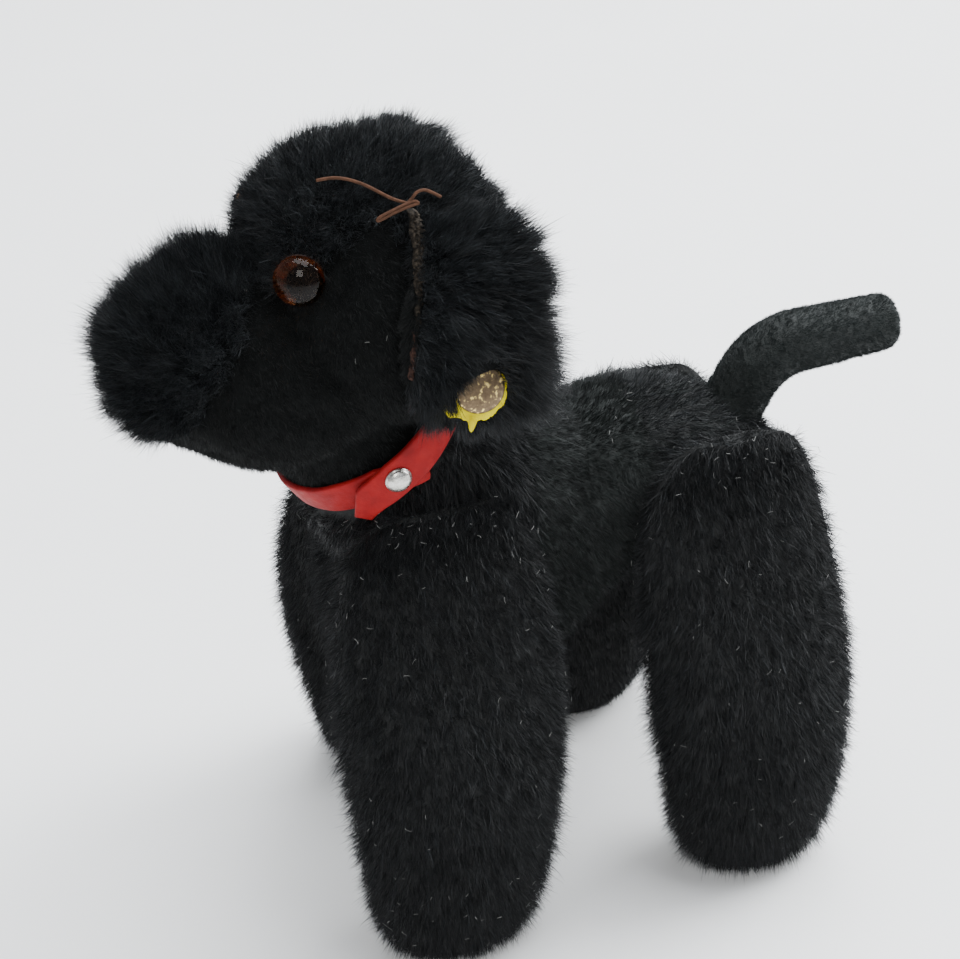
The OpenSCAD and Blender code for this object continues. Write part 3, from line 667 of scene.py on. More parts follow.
legs = {}
for name in LEGS:
    legs[name] = leg_skin(name)
    stuffed(
        legs[name],
        lambda p: ((np.abs(p[:, 0]) < LEG_INNER + 0.3) | (p[:, 2] < 1.2)).astype(float),
        0.6,
    )
    q = coords(legs[name])
    q[:, 2] = np.maximum(q[:, 2], 0.25)
    set_coords(legs[name], q)
    finish_skin(legs[name], name, [CLOTH], [name, name + "_filling"])

ears = {}
for side, name in ((1, "ear_left"), (-1, "ear_right")):
    ears[name] = ear_skin(side)
    finish_skin(ears[name], name, [EAR_CLOTH_SHADED], [name, name + "_lining"])

tail = tail_skin()
finish_skin(tail, "torso", [CLOTH_WORN], ["tail_cover"])

# ---------- coats ----------


def band(value, low, high):
    """0 below low, 1 above high, smooth between."""
    return ease((value - low) / (high - low))


def head_zone(p):
    """Long pile on the crown and back of the head and round the muzzle, then the muzzle's band alone."""
    muzzle = band((p[:, 1] + 52) * -0.846 + (p[:, 2] - 130) * 0.533, -1.5, 2.0) * band(-p[:, 1], 51, 53)
    between_eyes = band(-np.abs(p[:, 0]), -15.5, -13.5)
    crown = band(p[:, 2], 127.5, 129.5) * np.maximum(between_eyes, band(p[:, 1], -33, -31))
    return np.maximum(muzzle, crown), muzzle


def crown_lay(p, n):
    back = np.stack([0.15 * p[:, 0] / 20, 0.35 + 0 * p[:, 1], 0.4 + 0 * p[:, 2]], 1)
    fore = np.stack([0 * p[:, 0], -0.1 + 0 * p[:, 1], 0.6 + 0 * p[:, 2]], 1)
    k = band(-p[:, 1], 38, 52)[:, None]
    d = back * (1 - k) + fore * k
    return d - n * (d * n).sum(1)[:, None]


def clear_of_collar(p):
    return band(np.abs(in_neck(p)[:, 2]), 3.4, 4.4)


def not_under_ear(p):
    """0 where an ear lies on the head."""
    steps = 72
    middle, _, reach = ear_rim(steps)
    v = p[:, 1:] - middle
    a = (np.arctan2(v[:, 1], v[:, 0]) % (2 * np.pi)) / (2 * np.pi) * steps
    rim = reach[a.astype(int) % steps]
    inside = (np.hypot(v[:, 0], v[:, 1]) < rim - 2.6) & (np.abs(p[:, 0]) > 9)
    return 1.0 - inside


# The most hairs that one piece holds: five triangles each with three rings, three with two.
LONG_HAIRS, SHORT_HAIRS = 39500, 66000

fur(
    "crown_fur", head, "head", LONG_HAIRS,
    lambda p, n: mix(2.0, 3.9, head_zone(p)[0]),
    crown_lay, HEAD_MOHAIR_PAINTED_LIGHT, (0.44, 0.50, 0.06),
    width=0.085, lean=0.5, spread=0.55, bend=0.35, clump=0.5, clump_size=1.7,
    where=lambda p, n: (head_zone(p)[0] * (1 - head_zone(p)[1])) * not_under_ear(p),
    rings=3, seed=21,
)
fur(
    "muzzle_fur", head, "head", LONG_HAIRS,
    lambda p, n: mix(1.8, 4.8, head_zone(p)[1]),
    lambda p, n: unit(np.stack([p[:, 0] * 0.02, -0.3 + 0 * p[:, 1], 0.5 + (p[:, 2] - 112) * 0.04], 1)),
    HEAD_MOHAIR_PAINTED_LIGHT, (0.46, 0.48, 0.06),
    width=0.085, lean=0.45, spread=0.65, bend=0.4, clump=0.75, clump_size=2.0,
    where=lambda p, n: head_zone(p)[1],
    rings=3, seed=22,
)
fur(
    "cheek_pile", head, "head", SHORT_HAIRS,
    lambda p, n: 1.05 + 1.6 * head_zone(p)[0],
    steady(0, 0.5, -0.8), FACE_PILE_SHADED, (0.70, 0.298, 0.002),
    width=0.085, lean=0.7, spread=0.45, bend=0.3, clump=0.12, clump_size=1.2,
    where=lambda p, n: (1 - 0.9 * head_zone(p)[0]) * clear_of_collar(p) * not_under_ear(p),
    rings=2, seed=23,
)
fur(
    "chest_fur", torso, "torso", 38000,
    lambda p, n: 3.0 * band(np.abs(in_neck(p)[:, 2]), 2.0, 9.0) + 0.8,
    steady(0, -0.15, -1), MOHAIR, (0.72, 0.24, 0.04),
    width=0.10, lean=0.55, spread=0.45, bend=0.3, clump=0.4, clump_size=1.5,
    where=lambda p, n: band(-p[:, 1], 8, 10) * clear_of_collar(p),
    rings=3, seed=24,
)
fur(
    "flank_pile", torso, "torso", 64000,
    lambda p, n: 1.7 + 0 * p[:, 0],
    steady(0, 0.6, -0.7), PILE, (0.55, 0.42, 0.03),
    width=0.095, lean=0.8, spread=0.4, bend=0.3, clump=0.2, clump_size=1.2,
    where=lambda p, n: band(p[:, 1], -11, -9) * band(-p[:, 1], -16, -13.5),
    rings=2, seed=25,
)
# The rump takes a lighter mix of the mohair shades than the legs and chest: painted light, for the rump
# catching the light from above and behind.
fur(
    "rump_fur", torso, "torso", 38000,
    lambda p, n: 2.4 + 1.4 * band(np.abs(p[:, 0]), 9, 14),
    steady(0, 0.5, -0.9), MOHAIR, (0.45, 0.48, 0.07),
    width=0.10, lean=0.6, spread=0.45, bend=0.3, clump=0.3, clump_size=1.4,
    where=lambda p, n: band(p[:, 1], 13, 15.5),
    rings=3, seed=26,
)
fur(
    "tail_pile", tail, "torso", SHORT_HAIRS,
    lambda p, n: 0.75 + 0 * p[:, 0],
    steady(0, 1, 0.2), VELVET_PAINTED_LIGHT, (0.45, 0.54, 0.01),
    width=0.085, lean=0.8, spread=0.4, bend=0.3, clump=0.1, clump_size=1.0,
    rings=2, seed=27,
)
fur(
    "back_fuzz", torso, "torso", 2600,
    lambda p, n: 3.6 + 0 * p[:, 0],
    steady(0.3, 1, 0.2), PILE, (0.1, 0.6, 0.3),
    width=0.06, stand=0.7, lean=0.7, spread=1.2, bend=0.9, clump=0.3, clump_size=4,
    where=lambda p, n: band(p[:, 2], 80, 84) * band(p[:, 1], -14, -6) * (n[:, 2] > 0.2),
    rings=3, seed=28,
)


def open_inside(p):
    """1 where a leg's inner face stands clear of the trunk."""
    belly = 41 + 14 * ease((p[:, 1] + 8) / 21)
    return np.maximum(p[:, 2] < belly - 3, np.abs(p[:, 1]) > 37).astype(float)


def leg_hair_length(p, n, side, full):
    """Shorter at the foot and on the inner face."""
    return full * band(p[:, 2], -1, 6) * (0.45 + 0.55 * (n[:, 0] * side > -0.5)) + 0.4


def leg_lay(p, n):
    """Straight down, but lying over to the front at the shoulder and the hip."""
    return unit(np.stack([0 * p[:, 0], -0.1 + 0 * p[:, 1], mix(-1, -0.15, band(p[:, 2], 76, 84))], 1))


for i, (name, skin) in enumerate(legs.items()):
    side = 1 if "left" in name else -1
    for layer, full, seed in (("under", 2.6, 40), ("outer", 3.1, 30)):
        fur(
            f"{name}_fur_{layer}", skin, name, LONG_HAIRS,
            lambda p, n: leg_hair_length(p, n, side, full),
            leg_lay, MOHAIR, (0.74, 0.235, 0.025),
            width=0.085, lean=0.55, spread=0.5, bend=0.3, clump=0.35, clump_size=1.4,
            where=lambda p, n: (p[:, 2] > 0.6) * np.maximum(n[:, 0] * side > -0.6, open_inside(p)),
            density=lambda p, n: 1 + 0.8 * band(p[:, 2], 74, 82),
            rings=3, seed=seed + i,
        )

TAG = np.array([25.3, -22.9, 114.0])


def off_tag(p):
    """Distance from the tag's middle, on the left ear only."""
    return np.where(p[:, 0] > 0, np.hypot(p[:, 1] - TAG[1], p[:, 2] - TAG[2]), 99.0)


def over_tag(p):
    """1 where the ear's hair hangs over the tag's upper front edge."""
    return ((p[:, 1] < TAG[1] - 0.5) & (p[:, 2] > TAG[2] - 0.5)).astype(float)


def seam_y(z):
    return -33.0 + 3.6 * ease((z - 116) / 24)


def behind_seam(p):
    """How far behind the ear's sewn front edge a point lies."""
    return p[:, 1] - seam_y(p[:, 2])


def ear_hair_length(p):
    """Longer to the back and the tip, shorter round the tag and along the sewn edge."""
    full = 3.6 + 2.0 * band(p[:, 1], -22, -13) + 1.2 * band(-p[:, 2], -116, -110)
    round_tag = np.maximum(0.9 * over_tag(p), 0.3 + 0.7 * band(off_tag(p), 5.0, 8.5))
    return full * round_tag * (0.75 + 0.25 * band(behind_seam(p), 0.5, 4))


def ear_lay(p, side):
    """Back and down, off the sewn edge, parted round the tag and hanging over its upper front edge."""
    back = (p[:, 1] + 27) * 0.05 + 0.35
    down = np.stack([0.1 * side + 0 * p[:, 0], back, -0.35 + (p[:, 2] - 122) * 0.04], 1)
    off_edge = 0.8 * (1 - band(behind_seam(p), 1, 4))[:, None] * np.array([0.2 * side, 1.0, 0])
    from_tag = np.stack([0 * p[:, 0], p[:, 1] - TAG[1], p[:, 2] - TAG[2]], 1)
    parted = ((1 - band(off_tag(p), 5, 9)) * (1 - over_tag(p)))[:, None] * from_tag / 4.5
    hanging = ((1 - band(off_tag(p), 5, 8)) * over_tag(p))[:, None] * np.array([0.9, 0.3, -1.1])
    return unit(down + off_edge + parted + hanging)


def tuft_lay(p, side):
    tilt = 0.1 + (p[:, 2] - 124) * 0.05
    return unit(np.stack([0.25 * side + 0 * p[:, 0], 0.9 + 0 * p[:, 1], tilt], 1))


for i, (name, skin) in enumerate(ears.items()):
    side = 1 if name == "ear_left" else -1
    fur(
        name + "_fur", skin, name, LONG_HAIRS,
        lambda p, n: ear_hair_length(p),
        lambda p, n: ear_lay(p, side),
        HEAD_MOHAIR_PAINTED_LIGHT, (0.44, 0.48, 0.08),
        width=0.10, lean=0.6, spread=0.6, bend=0.4, clump=0.7, clump_size=2.0,
        where=lambda p, n: (n[:, 0] * side > -0.75) * (behind_seam(p) > -0.3) * (off_tag(p) > 4.4),
        rings=3, seed=40 + i,
    )
for i, (name, skin) in enumerate(ears.items()):
    side = 1 if name == "ear_left" else -1
    fur(
        name + "_tufts", skin, name, 6500,
        lambda p, n: 5.6 + 0 * p[:, 0],
        lambda p, n: tuft_lay(p, side),
        MOHAIR, (0.44, 0.48, 0.08),
        width=0.09, lean=0.9, spread=1.0, bend=0.5, clump=1.1, clump_size=3.2,
        where=lambda p, n: (n[:, 0] * side > -0.8) * band(p[:, 1], -22, -17) * band(-p[:, 2], -135, -130),
        rings=3, seed=46 + i,
    )
    fur(
        name + "_edge", skin, name, 7000,
        lambda p, n: 1.2 + 0 * p[:, 0],
        steady(0, 0.1, -1), FACE_PILE_SHADED, (0.6, 0.39, 0.01),
        width=0.09, lean=0.8, spread=0.5, bend=0.3, clump=0.2, clump_size=1.2,
        where=lambda p, n: (behind_seam(p) < 0.0) * (n[:, 0] * side > -0.7),
        rings=2, seed=60 + i,
    )


def on_shoulder(p, n):
    outer = np.abs(n[:, 0]) > 0.35
    return band(p[:, 2], 81, 84) * band(-p[:, 1], 10, 13) * outer * clear_of_collar(p)


fur(
    "shoulder_fur", torso, "torso", 9000,
    lambda p, n: 4.4 + 0 * p[:, 0],
    steady(0, -0.1, -1), MOHAIR, (0.74, 0.235, 0.025),
    width=0.09, lean=0.8, spread=0.5, bend=0.4, clump=0.4, clump_size=1.5,
    where=on_shoulder,
    rings=3, seed=62,
)
fur(
    "stray_hairs", head, "head", 900,
    lambda p, n: 6.0 + 0 * p[:, 0],
    crown_lay, MOHAIR, (0.3, 0.5, 0.2),
    width=0.05, lean=0.4, spread=1.3, bend=0.9, clump=0.2, clump_size=4,
    where=lambda p, n: np.maximum(head_zone(p)[0], head_zone(p)[1]) * not_under_ear(p),
    rings=3, seed=49,
)

# ---------- eyes ----------

GLASS, nt, bsdf = shader("eye_glass_amber")
bsdf.inputs["Transmission Weight"].default_value = 1.0
bsdf.inputs["IOR"].default_value = 1.13
bsdf.inputs["Coat Weight"].default_value = 0.13
bsdf.inputs["Coat Roughness"].default_value = 0.02
haze = noise(nt, 60)
nt.links.new(ranged(nt, haze.outputs["Fac"], 0.0, 0.004).outputs["Result"], bsdf.inputs["Roughness"])
nt.links.new(
    ramp(nt, haze.outputs["Fac"], [(0.35, (0.62, 0.30, 0.14)), (0.65, (0.72, 0.38, 0.19))]).outputs["Color"],
    bsdf.inputs["Base Color"],
)
IRIS = mottled(
    "iris_paint", [(0.3, (0.024, 0.007, 0.003)), (0.7, (0.055, 0.017, 0.006))], 900, (0.3, 0.5), 0.00005,
)
PUPIL = mottled(
    "pupil_black", [(0.3, (0.0008, 0.0006, 0.0005)), (0.7, (0.0016, 0.0012, 0.001))],
    900, (0.75, 0.9), 0.000005, specular_ior_level=0.1,
)
STEEL = mottled(
    "plain_steel", [(0.3, (0.45, 0.45, 0.44)), (0.7, (0.6, 0.6, 0.58))],
    700, (0.25, 0.4), 0.00004, 3000, 1.0,
)


def turned(name, profile, sides, frame_matrix):
    """A turned piece: profile is (radius, height) from its middle outwards, in a frame of its own."""
    a = np.linspace(0, 2 * np.pi, sides, endpoint=False)
    pts = [np.stack([r * np.cos(a), r * np.sin(a), h + 0 * a], 1) for r, h in profile]
    pts = np.concatenate(pts)
    m = np.array(frame_matrix)
    pts = pts @ m[:3, :3].T + m[:3, 3]
    return mesh_object(name, pts, ring_faces(len(profile), sides))


def frame_at(at, z, x_hint):
    z = unit(z)
    x = unit(np.asarray(x_hint) - z * np.dot(z, x_hint))
    y = np.cross(z, x)
    m = np.eye(4)
    m[:3, 0], m[:3, 1], m[:3, 2], m[:3, 3] = x, y, z, at
    return m


def eye_frame(side):
    turn, lift = math.radians(26), math.radians(10)
    out = np.array([math.cos(lift) * math.cos(turn), -math.cos(lift) * math.sin(turn), math.sin(lift)])
    out[0] *= side
    at = [14.2, -47.0, 131.6] if side > 0 else [-13.5, -45.7, 131.3]
    return frame_at(np.array(at), out, [0, 0, 1])


def add(obj, body, mat, *nodes, slot=None):
    obj.data.materials.clear()
    obj.data.materials.append(mat)
    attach(obj, body)
    if nodes:
        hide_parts(*nodes)
    return obj


for side, name in ((1, "eye_left"), (-1, "eye_right")):
    f = eye_frame(side)
    dome = [(0.05, -0.2), (3.5, -0.2), (3.88, 0.0), (3.9, 0.35)]
    dome += [(3.9 * math.cos(a), 0.35 + 2.75 * math.sin(a)) for a in np.radians(np.linspace(8, 88, 16))]
    add(turned(name + "_dome", dome, 64, f), "head", GLASS, name, slot="eye_glass")
    back = [(0.05, -0.9), (3.6, -0.7), (3.85, -0.35), (3.6, -0.22), (1.8, -0.22), (0.05, -0.22)]
    add(turned(name + "_iris", back, 64, f), "head", IRIS, slot="eye_glass")
    disc = [(0.05, 0.0), (2.5, 0.0), (2.55, 0.12), (2.3, 0.25), (0.05, 0.28)]
    g = f.copy()
    g[:3, 3] += unit(np.cross(f[:3, 2] * side, [0, 0, 1])) * -0.8 * side + np.array([0, 0, -0.35])
    pupil = add(turned(name + "_pupil", disc, 48, g), "head", PUPIL, slot="eye_black")
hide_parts("eye_pupils")

# ---------- nose: rows of stitches under the muzzle's fur ----------


def tube(name, path, radius, sides):
    path = np.asarray(path, float)
    t = unit(np.gradient(path, axis=0))
    ref = np.array([0.13, 0.21, 0.97])
    u = unit(np.cross(ref, t))
    v = np.cross(t, u)
    return loft(name, path, u * radius, v * radius, sides)


def joined(name, objs):
    """One smooth-shaded mesh from several, which are taken out of the scene."""
    bm = bmesh.new()
    for o in objs:
        bm.from_mesh(o.data)
        bpy.data.objects.remove(o)
    data = bpy.data.meshes.new(name)
    bm.to_mesh(data)
    bm.free()
    data.polygons.foreach_set("use_smooth", [True] * len(data.polygons))
    return placed(name, data)


STITCH = mottled(
    "nose_stitching", [(0.3, (0.004, 0.004, 0.0045)), (0.7, (0.012, 0.012, 0.013))],
    900, (0.35, 0.55), 0.0001,
)
rows = []
for i in range(13):
    s = (i - 6) / 6
    tall = 3.6 * math.sqrt(max(0.05, 1 - s * s)) + 0.3
    z = np.linspace(-tall, tall, 9)
    y = -72.9 + 0.16 * (z / 3.6) ** 2 + 0.5 * s * s - 0.35 * (1 - (z / tall) ** 2)
    rows.append(tube(f"row{i}", np.stack([0 * z + s * 3.9, y, 115 + z], 1), 0.36, 8))
add(joined("nose_stitches", rows), "head", STITCH, "nose", slot="nose_thread")

# ---------- collar ----------

RED = mottled(
    "red_leathercloth",
    [(0.25, (0.155, 0.003, 0.004)), (0.5, (0.235, 0.005, 0.006)), (0.8, (0.30, 0.011, 0.010))],
    260, (0.52, 0.72), 0.00012, 2600, specular_ior_level=0.15,
)


# One strap: its tip beside the stud, round under the throat and behind the neck, and back over itself.
# Angles from the throat towards the left, then the lower edge, the upper edge and the lift off the neck.
COURSE = [
    (102.6, -2.9, -2.4, 0.35), (101.2, -4.0, -1.7, 0.35), (99, -4.6, -0.8, 0.35), (95, -4.2, 0.6, 0.35),
    (88, -3.3, 2.6, 0.35), (80, -2.7, 3.9, 0.35), (68, -2.0, 4.3, 0.35), (54, -1.5, 4.6, 0.35),
    (33, -1.1, 4.6, 0.35), (0, -1.4, 4.2, 0.35), (-60, -2.3, 3.3, 0.35), (-120, -2.9, 2.8, 0.35),
    (-180, -2.8, 3.0, 0.4), (-215, -2.5, 3.3, 0.9), (-240, -2.1, 3.6, 1.75), (-253, -2.2, 4.1, 1.85),
    (-273, -2.4, 4.4, 1.75), (-288, -2.6, 3.7, 1.8), (-294, -3.0, 3.1, 1.85), (-299, -3.7, 1.0, 1.9),
    (-304.7, -1.7, -1.3, 1.95),
]
STUD_ANGLE = math.radians(87.6)


def strap(name, course, thick=1.1):
    """A strap round the neck with softened edges and ends cut to points."""
    course = np.array(course, float)
    fine = np.arange(course[-1, 0] + 1, course[0, 0], 2.0)
    turn = np.sort(np.unique(np.concatenate([fine, course[:, 0]])))[::-1]
    low, high, lift = (np.interp(-turn, -course[:, 0], course[:, i]) for i in (1, 2, 3))
    around = np.linspace(0, 2 * np.pi, 20, endpoint=False)
    across = np.sign(np.cos(around)) * np.abs(np.cos(around)) ** 0.35 * 0.5
    along = np.sign(np.sin(around)) * np.abs(np.sin(around)) ** 0.25
    rings = []
    for t, lo, hi, off in zip(np.radians(turn), low, high, lift):
        r = NECK_R + off + thick / 2 + across * thick + 0.06 * math.sin(5 * t + 1) + 0.04 * math.sin(11 * t)
        h = (lo + hi) / 2 + (hi - lo) / 2 * along + 0.05 * math.sin(7 * t)
        out = math.sin(t) * np.array([1, 0, 0]) - math.cos(t) * NECK_BACK
        rings.append(NECK_AT + r[:, None] * out + h[:, None] * NECK_AXIS)
    obj = mesh_object(name, np.concatenate(rings), ring_faces(len(rings), len(around)))
    bm = bmesh.new()
    bm.from_mesh(obj.data)
    bmesh.ops.recalc_face_normals(bm, faces=bm.faces)
    bm.to_mesh(obj.data)
    bm.free()
    return obj


add(strap("collar_band", COURSE), "collar", RED, "collar_strap", "collar_end", slot="collar_red")

stud_out = np.array([1, 0, 0]) * math.sin(STUD_ANGLE) - NECK_BACK * math.cos(STUD_ANGLE)
stud_frame = frame_at(NECK_AT + stud_out * (NECK_R + 2.85) + NECK_AXIS * 0.9, stud_out, NECK_AXIS)
DOME = mottled(
    "worn_plated_steel",
    [(0.25, (0.30, 0.29, 0.25)), (0.5, (0.55, 0.54, 0.5)), (0.75, (0.72, 0.71, 0.68))],
    1100, (0.18, 0.45), 0.00016, 1500, 1.0,
)
profile = [(0.05, -0.1), (2.1, -0.1), (2.25, 0.05), (2.2, 0.3), (2.02, 0.42)]
profile += [(2.0 * math.cos(b), 0.42 + 0.95 * math.sin(b)) for b in np.radians(np.linspace(10, 88, 12))]
add(turned("stud_dome", profile, 56, stud_frame), "collar", DOME, "collar_stud", slot="stud_steel")

# ---------- ear tag and felt ----------

tag_out = unit([0.95, -0.1, 0.30])
tag_frame = frame_at(TAG + tag_out * 0.6, tag_out, [0, -0.6, 0.8])
BRONZE = mottled(
    "tarnished_bronze",
    [(0.3, (0.085, 0.058, 0.036)), (0.56, (0.16, 0.115, 0.07)), (0.63, (0.80, 0.60, 0.22))],
    1300, (0.3, 0.5), 0.00018, 700, 1.0,
)
profile = [(0.05, -0.1), (3.8, -0.1), (4.0, 0.05), (3.95, 0.35)]
profile += [(3.9 * math.cos(b), 0.35 + 0.85 * math.sin(b)) for b in np.radians(np.linspace(8, 88, 14))]
add(turned("tag_dome", profile, 72, tag_frame), "ear_left", BRONZE, "tag_disc", slot="tag_bronze")
FELT = mottled(
    "yellow_felt", [(0.25, (0.38, 0.29, 0.0)), (0.5, (0.60, 0.50, 0.002)), (0.8, (0.72, 0.62, 0.01))],
    500, (0.8, 0.95), 0.0003, 2500, specular_ior_level=0.1,
)
RIM = 120
a = np.linspace(0, 2 * np.pi, RIM, endpoint=False)
ragged = 4.65 + 0.10 * np.sin(9 * a + 1) + 0.07 * np.sin(17 * a) + rng.normal(0, 0.06, RIM)
hanging_shred = 1.7 * np.exp(-(((a - 2.25) / 0.10) ** 2))
side_shred = 1.2 * np.exp(-(((a - 1.35) / 0.35) ** 2))
ragged += hanging_shred + side_shred + 0.3 * np.exp(-(((a - 4.3) / 0.8) ** 2))
layers = ((-0.45, 0.02), (-0.45, 0.98), (-0.1, 1.0), (0.12, 0.97), (0.15, 0.6), (0.15, 0.02))
pts = []
for h, k in layers:
    r = ragged * k
    pts.append(np.stack([r * np.cos(a), r * np.sin(a), h + 0.08 * np.sin(5 * a + 9 * k)], 1))
pts = np.concatenate(pts)
pts = pts @ tag_frame[:3, :3].T + tag_frame[:3, 3]
pts = pts + np.array([0, -0.45, -0.6])
felt = mesh_object("felt_scrap", pts, ring_faces(len(layers), RIM))
add(felt, "ear_left", FELT, "tag_felt", slot="yellow_felt")

# ---------- worn seam in front of the left ear, and the repair thread ----------

SEAM = mottled(
    "worn_seam",
    [(0.35, (0.004, 0.003, 0.0025)), (0.5, (0.014, 0.011, 0.008)), (0.68, (0.060, 0.048, 0.036))],
    2200, (0.85, 0.98), 0.0003, 3000, specular_ior_level=0.15,
)
SEAM_LOW = mottled(
    "worn_seam_lower",
    [(0.35, (0.010, 0.005, 0.004)), (0.5, (0.032, 0.016, 0.012)), (0.7, (0.090, 0.045, 0.034))],
    2200, (0.85, 0.98), 0.0003, 3000, specular_ior_level=0.15,
)
THREAD = mottled(
    "reddish_thread", [(0.3, (0.036, 0.016, 0.009)), (0.7, (0.078, 0.036, 0.021))],
    1500, (0.7, 0.9), 0.0001, 6000, specular_ior_level=0.1,
)


def frayed(name, low, high, half, mat, *nodes, **more):
    """A frayed ribbon up the seam from one height to another; half gives its half width at a height."""
    z = np.linspace(low, high, int((high - low) * 4.5))
    y = seam_y(z) - 0.45 + 0.16 * np.sin(z * 1.9)
    wide = half(z)
    knots = rng.normal(0, 1, (9, len(z)))
    cols = []
    for i, k in enumerate(np.linspace(-1, 1, 7)):
        yy = y + k * wide * (1 + 0.22 * knots[i])
        cols.append(np.stack([guide_x(yy, z, 3.6 + 0.3 * (1 - k * k) + 0.16 * knots[i]), yy, z], 1))
    for k in (0.8, -0.8):
        yy = y + k * wide
        cols.append(np.stack([guide_x(yy, z, 2.9), yy, z], 1))
    pts = np.array(cols).transpose(1, 0, 2).reshape(-1, 3)
    obj = mesh_object(name, pts, ring_faces(len(z), len(cols)))
    return add(obj, "ear_left", mat, *nodes, **more)


def strip_half(z):
    return (0.5 + 0.5 * ease((z - 129) / 4)) * (1 - 0.3 * ease((z - 138.5) / 2))


frayed("seam_strip", 125.0, 140.8, strip_half, SEAM, "ear_seam_strip", slot="worn_backing")
frayed(
    "seam_strip_lower", 117.4, 125.3, lambda z: 0.38 + 0.14 * np.sin(z * 1.3) ** 2, SEAM_LOW,
    slot="worn_backing",
)


def thread_path(points):
    """A smooth path through the given points."""
    points = np.asarray(points, float)
    at = np.linspace(0, len(points) - 1, 10 * (len(points) - 1) + 1)
    out = []
    for q in at:
        i = min(int(q), len(points) - 2)
        f = q - i
        p0, p3 = points[max(i - 1, 0)], points[min(i + 2, len(points) - 1)]
        p1, p2 = points[i], points[i + 1]
        square, cube = 2 * p0 - 5 * p1 + 4 * p2 - p3, 3 * p1 - p0 - 3 * p2 + p3
        out.append(0.5 * (2 * p1 + (p2 - p0) * f + square * f * f + cube * f**3))
    return np.array(out)


KNOT = np.array([19.3, -31.8, 144.0])
# From the knot: the free end to the front, the one to the back, and the flat loop.
STRANDS = (
    ((0, 0.6, -0.4), (-0.5, -2.0, 0.7), (-1.9, -6.0, 3.1), (-3.0, -9.3, 4.1), (-3.9, -12.2, 3.8)),
    ((0.4, -0.5, -0.6), (0.2, 0.9, 0.5), (-0.1, 1.8, 1.2), (-0.4, 3.3, 1.1), (-0.5, 5.6, -0.4)),
    (
        (0.5, 1.8, -0.3), (0.7, 0.0, -0.5), (0.9, -2.2, -1.0), (1.0, -4.5, -1.75),
        (0.9, -4.4, -1.3), (0.7, -2.0, -0.55), (0.4, 0.9, 0.1), (0.5, 1.8, -0.3),
    ),
)
strands = [
    tube(f"strand{i}", thread_path([KNOT + v for v in points]), 0.24, 10)
    for i, points in enumerate(STRANDS)
]
add(joined("repair_strands", strands), "head", THREAD, "repair_thread", slot="repair_thread")

# ---------- a few light fibres caught in the coat ----------

LINT = mottled(
    "pale_lint", [(0.3, (0.14, 0.14, 0.135)), (0.7, (0.34, 0.34, 0.325))], 900, (0.4, 0.6), 0.00005,
)


def lint(name, skin, body, count, seed, reach, long):
    """Short curved fibres a little above a skin: long is their shortest and longest length."""
    r = np.random.default_rng(seed)
    co = coords(skin)
    vn = vertex_normals(skin)
    ok = np.where((np.abs(co[:, 0]) > 17) | (np.abs(vn[:, 0]) < 0.6))[0]
    out = []
    for i in r.choice(ok, count):
        n = vn[i]
        d = unit(np.cross(n, r.normal(0, 1, 3)))
        e = np.cross(n, d)
        size = r.uniform(*long)
        s = np.linspace(-0.5, 0.5, 7)
        curve = r.normal(0, 0.25)
        middle = co[i] + n * (reach * r.uniform(0.6, 1.0))
        path = middle + d * (s * size)[:, None] + e * (curve * size * (s * s))[:, None]
        path[:, 2] = np.maximum(path[:, 2], 0.08)
        out.append(tube(f"{name}{i}", path, r.uniform(0.02, 0.035), 4))
    return add(joined(name, out), body, LINT)


lint("lint_front_left", legs["leg_front_left"], "leg_front_left", 250, 51, 2.7, (0.35, 1.2))
lint("lint_rear_left", legs["leg_rear_left"], "leg_rear_left", 170, 52, 2.7, (0.35, 1.2))
lint("lint_front_right", legs["leg_front_right"], "leg_front_right", 60, 56, 2.7, (0.35, 1.2))
lint("lint_rear_right", legs["leg_rear_right"], "leg_rear_right", 60, 57, 2.7, (0.35, 1.2))
lint("lint_torso", torso, "torso", 160, 53, 2.0, (0.4, 1.4))
lint("lint_head", head, "head", 40, 54, 1.5, (0.35, 1.0))

# ---------- inner hardware keeps its CAD shape ----------

BOARD = mottled(
    "pressed_board", [(0.3, (0.20, 0.12, 0.06)), (0.7, (0.36, 0.25, 0.15))],
    300, (0.7, 0.9), 0.0002, 2000,
)
for name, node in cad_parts.items():
    if node.hide_render:
        continue
    board = "disc" in name
    node.data.materials.clear()
    node.data.materials.append(BOARD if board else BRONZE if name == "tag_rivet" else STEEL)

# ---------- stage ----------

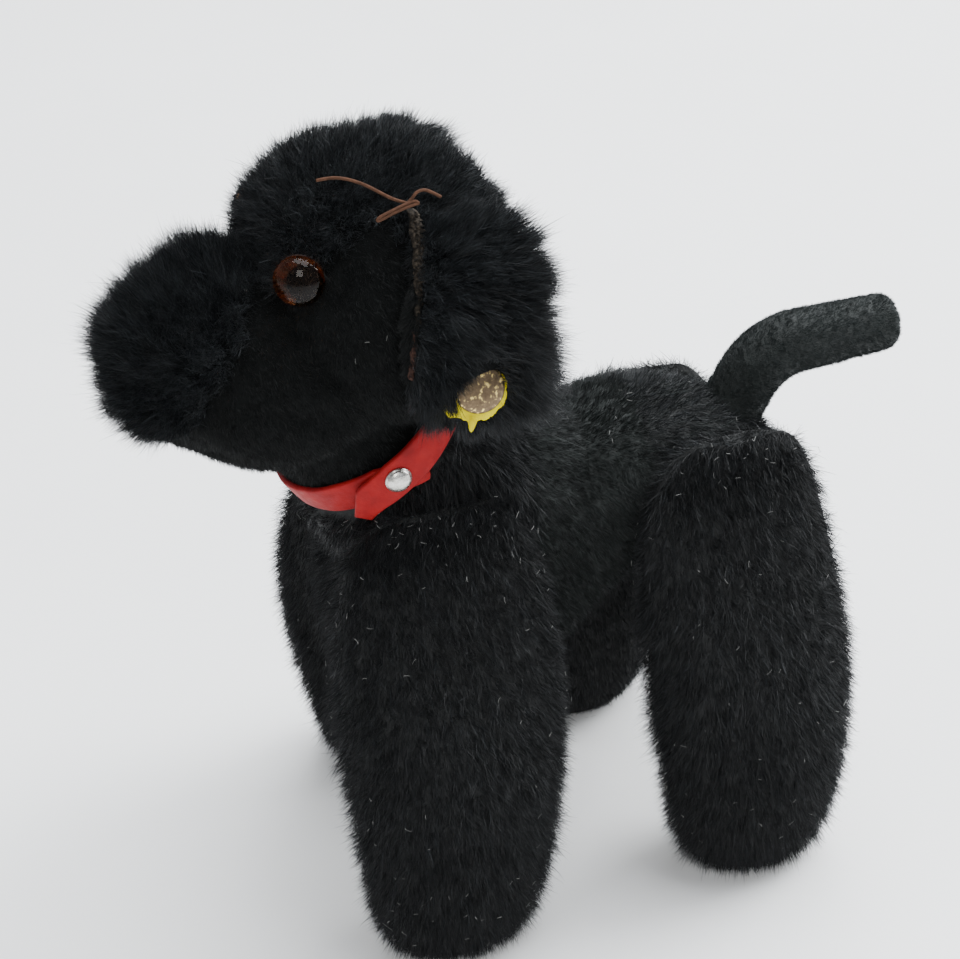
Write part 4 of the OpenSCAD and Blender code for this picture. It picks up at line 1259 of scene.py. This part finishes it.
FLOOR = mottled(
    "pale_floor", [(0.3, (0.84, 0.84, 0.835)), (0.7, (0.88, 0.88, 0.875))],
    6, (0.6, 0.75), 0.00005, 300,
)
bpy.ops.mesh.primitive_plane_add(size=6, location=(0, 0, 0))
floor = bpy.context.object
floor.name = "floor"
floor.data.materials.append(FLOOR)

world = bpy.data.worlds.new("studio")
bpy.context.scene.world = world
world.use_nodes = True
background = world.node_tree.nodes["Background"]
background.inputs["Color"].default_value = (0.90, 0.94, 1.0, 1)
background.inputs["Strength"].default_value = 0.6


def softbox(name, at, aim, size, power, colour=(1, 1, 1)):
    data = bpy.data.lights.new(name, "AREA")
    data.shape = "RECTANGLE"
    data.size, data.size_y = size
    data.energy = power
    data.color = colour
    obj = placed(name, data)
    obj.location = at
    obj.rotation_mode = "QUATERNION"
    obj.rotation_quaternion = (Vector(aim) - Vector(at)).to_track_quat("-Z", "Y")


softbox("window", (0.75, -0.35, 0.75), (0, 0, 0.07), (0.35, 0.5), 5.0, (1, 0.99, 0.97))
softbox("sky", (-0.25, 0.35, 1.25), (0, 0, 0.05), (1.4, 1.4), 56.0, (0.94, 0.97, 1))
softbox("back", (-0.1, 0.95, 0.6), (0, 0.02, 0.09), (0.6, 0.5), 16.0, (0.95, 0.98, 1))

# ---------- camera ----------

camera = bpy.data.cameras.new("camera")
camera.sensor_width = 36
camera.lens = 75
camera.clip_start, camera.clip_end = 0.01, 20
camera.dof.use_dof = False
view = placed("camera", camera)
yaw, tip = math.radians(21.5), math.radians(34.0)
right = Vector((math.sin(yaw), math.cos(yaw), 0))
forward_way = Vector((-math.cos(yaw) * math.cos(tip), math.sin(yaw) * math.cos(tip), -math.sin(tip)))
up_way = right.cross(forward_way)
view.matrix_world = Matrix.Translation((0.2677, -0.1181 + STANCE * MM, 0.2727)) @ Matrix(
    (
        (right.x, up_way.x, -forward_way.x),
        (right.y, up_way.y, -forward_way.y),
        (right.z, up_way.z, -forward_way.z),
    )
).to_4x4()
bpy.context.scene.camera = view
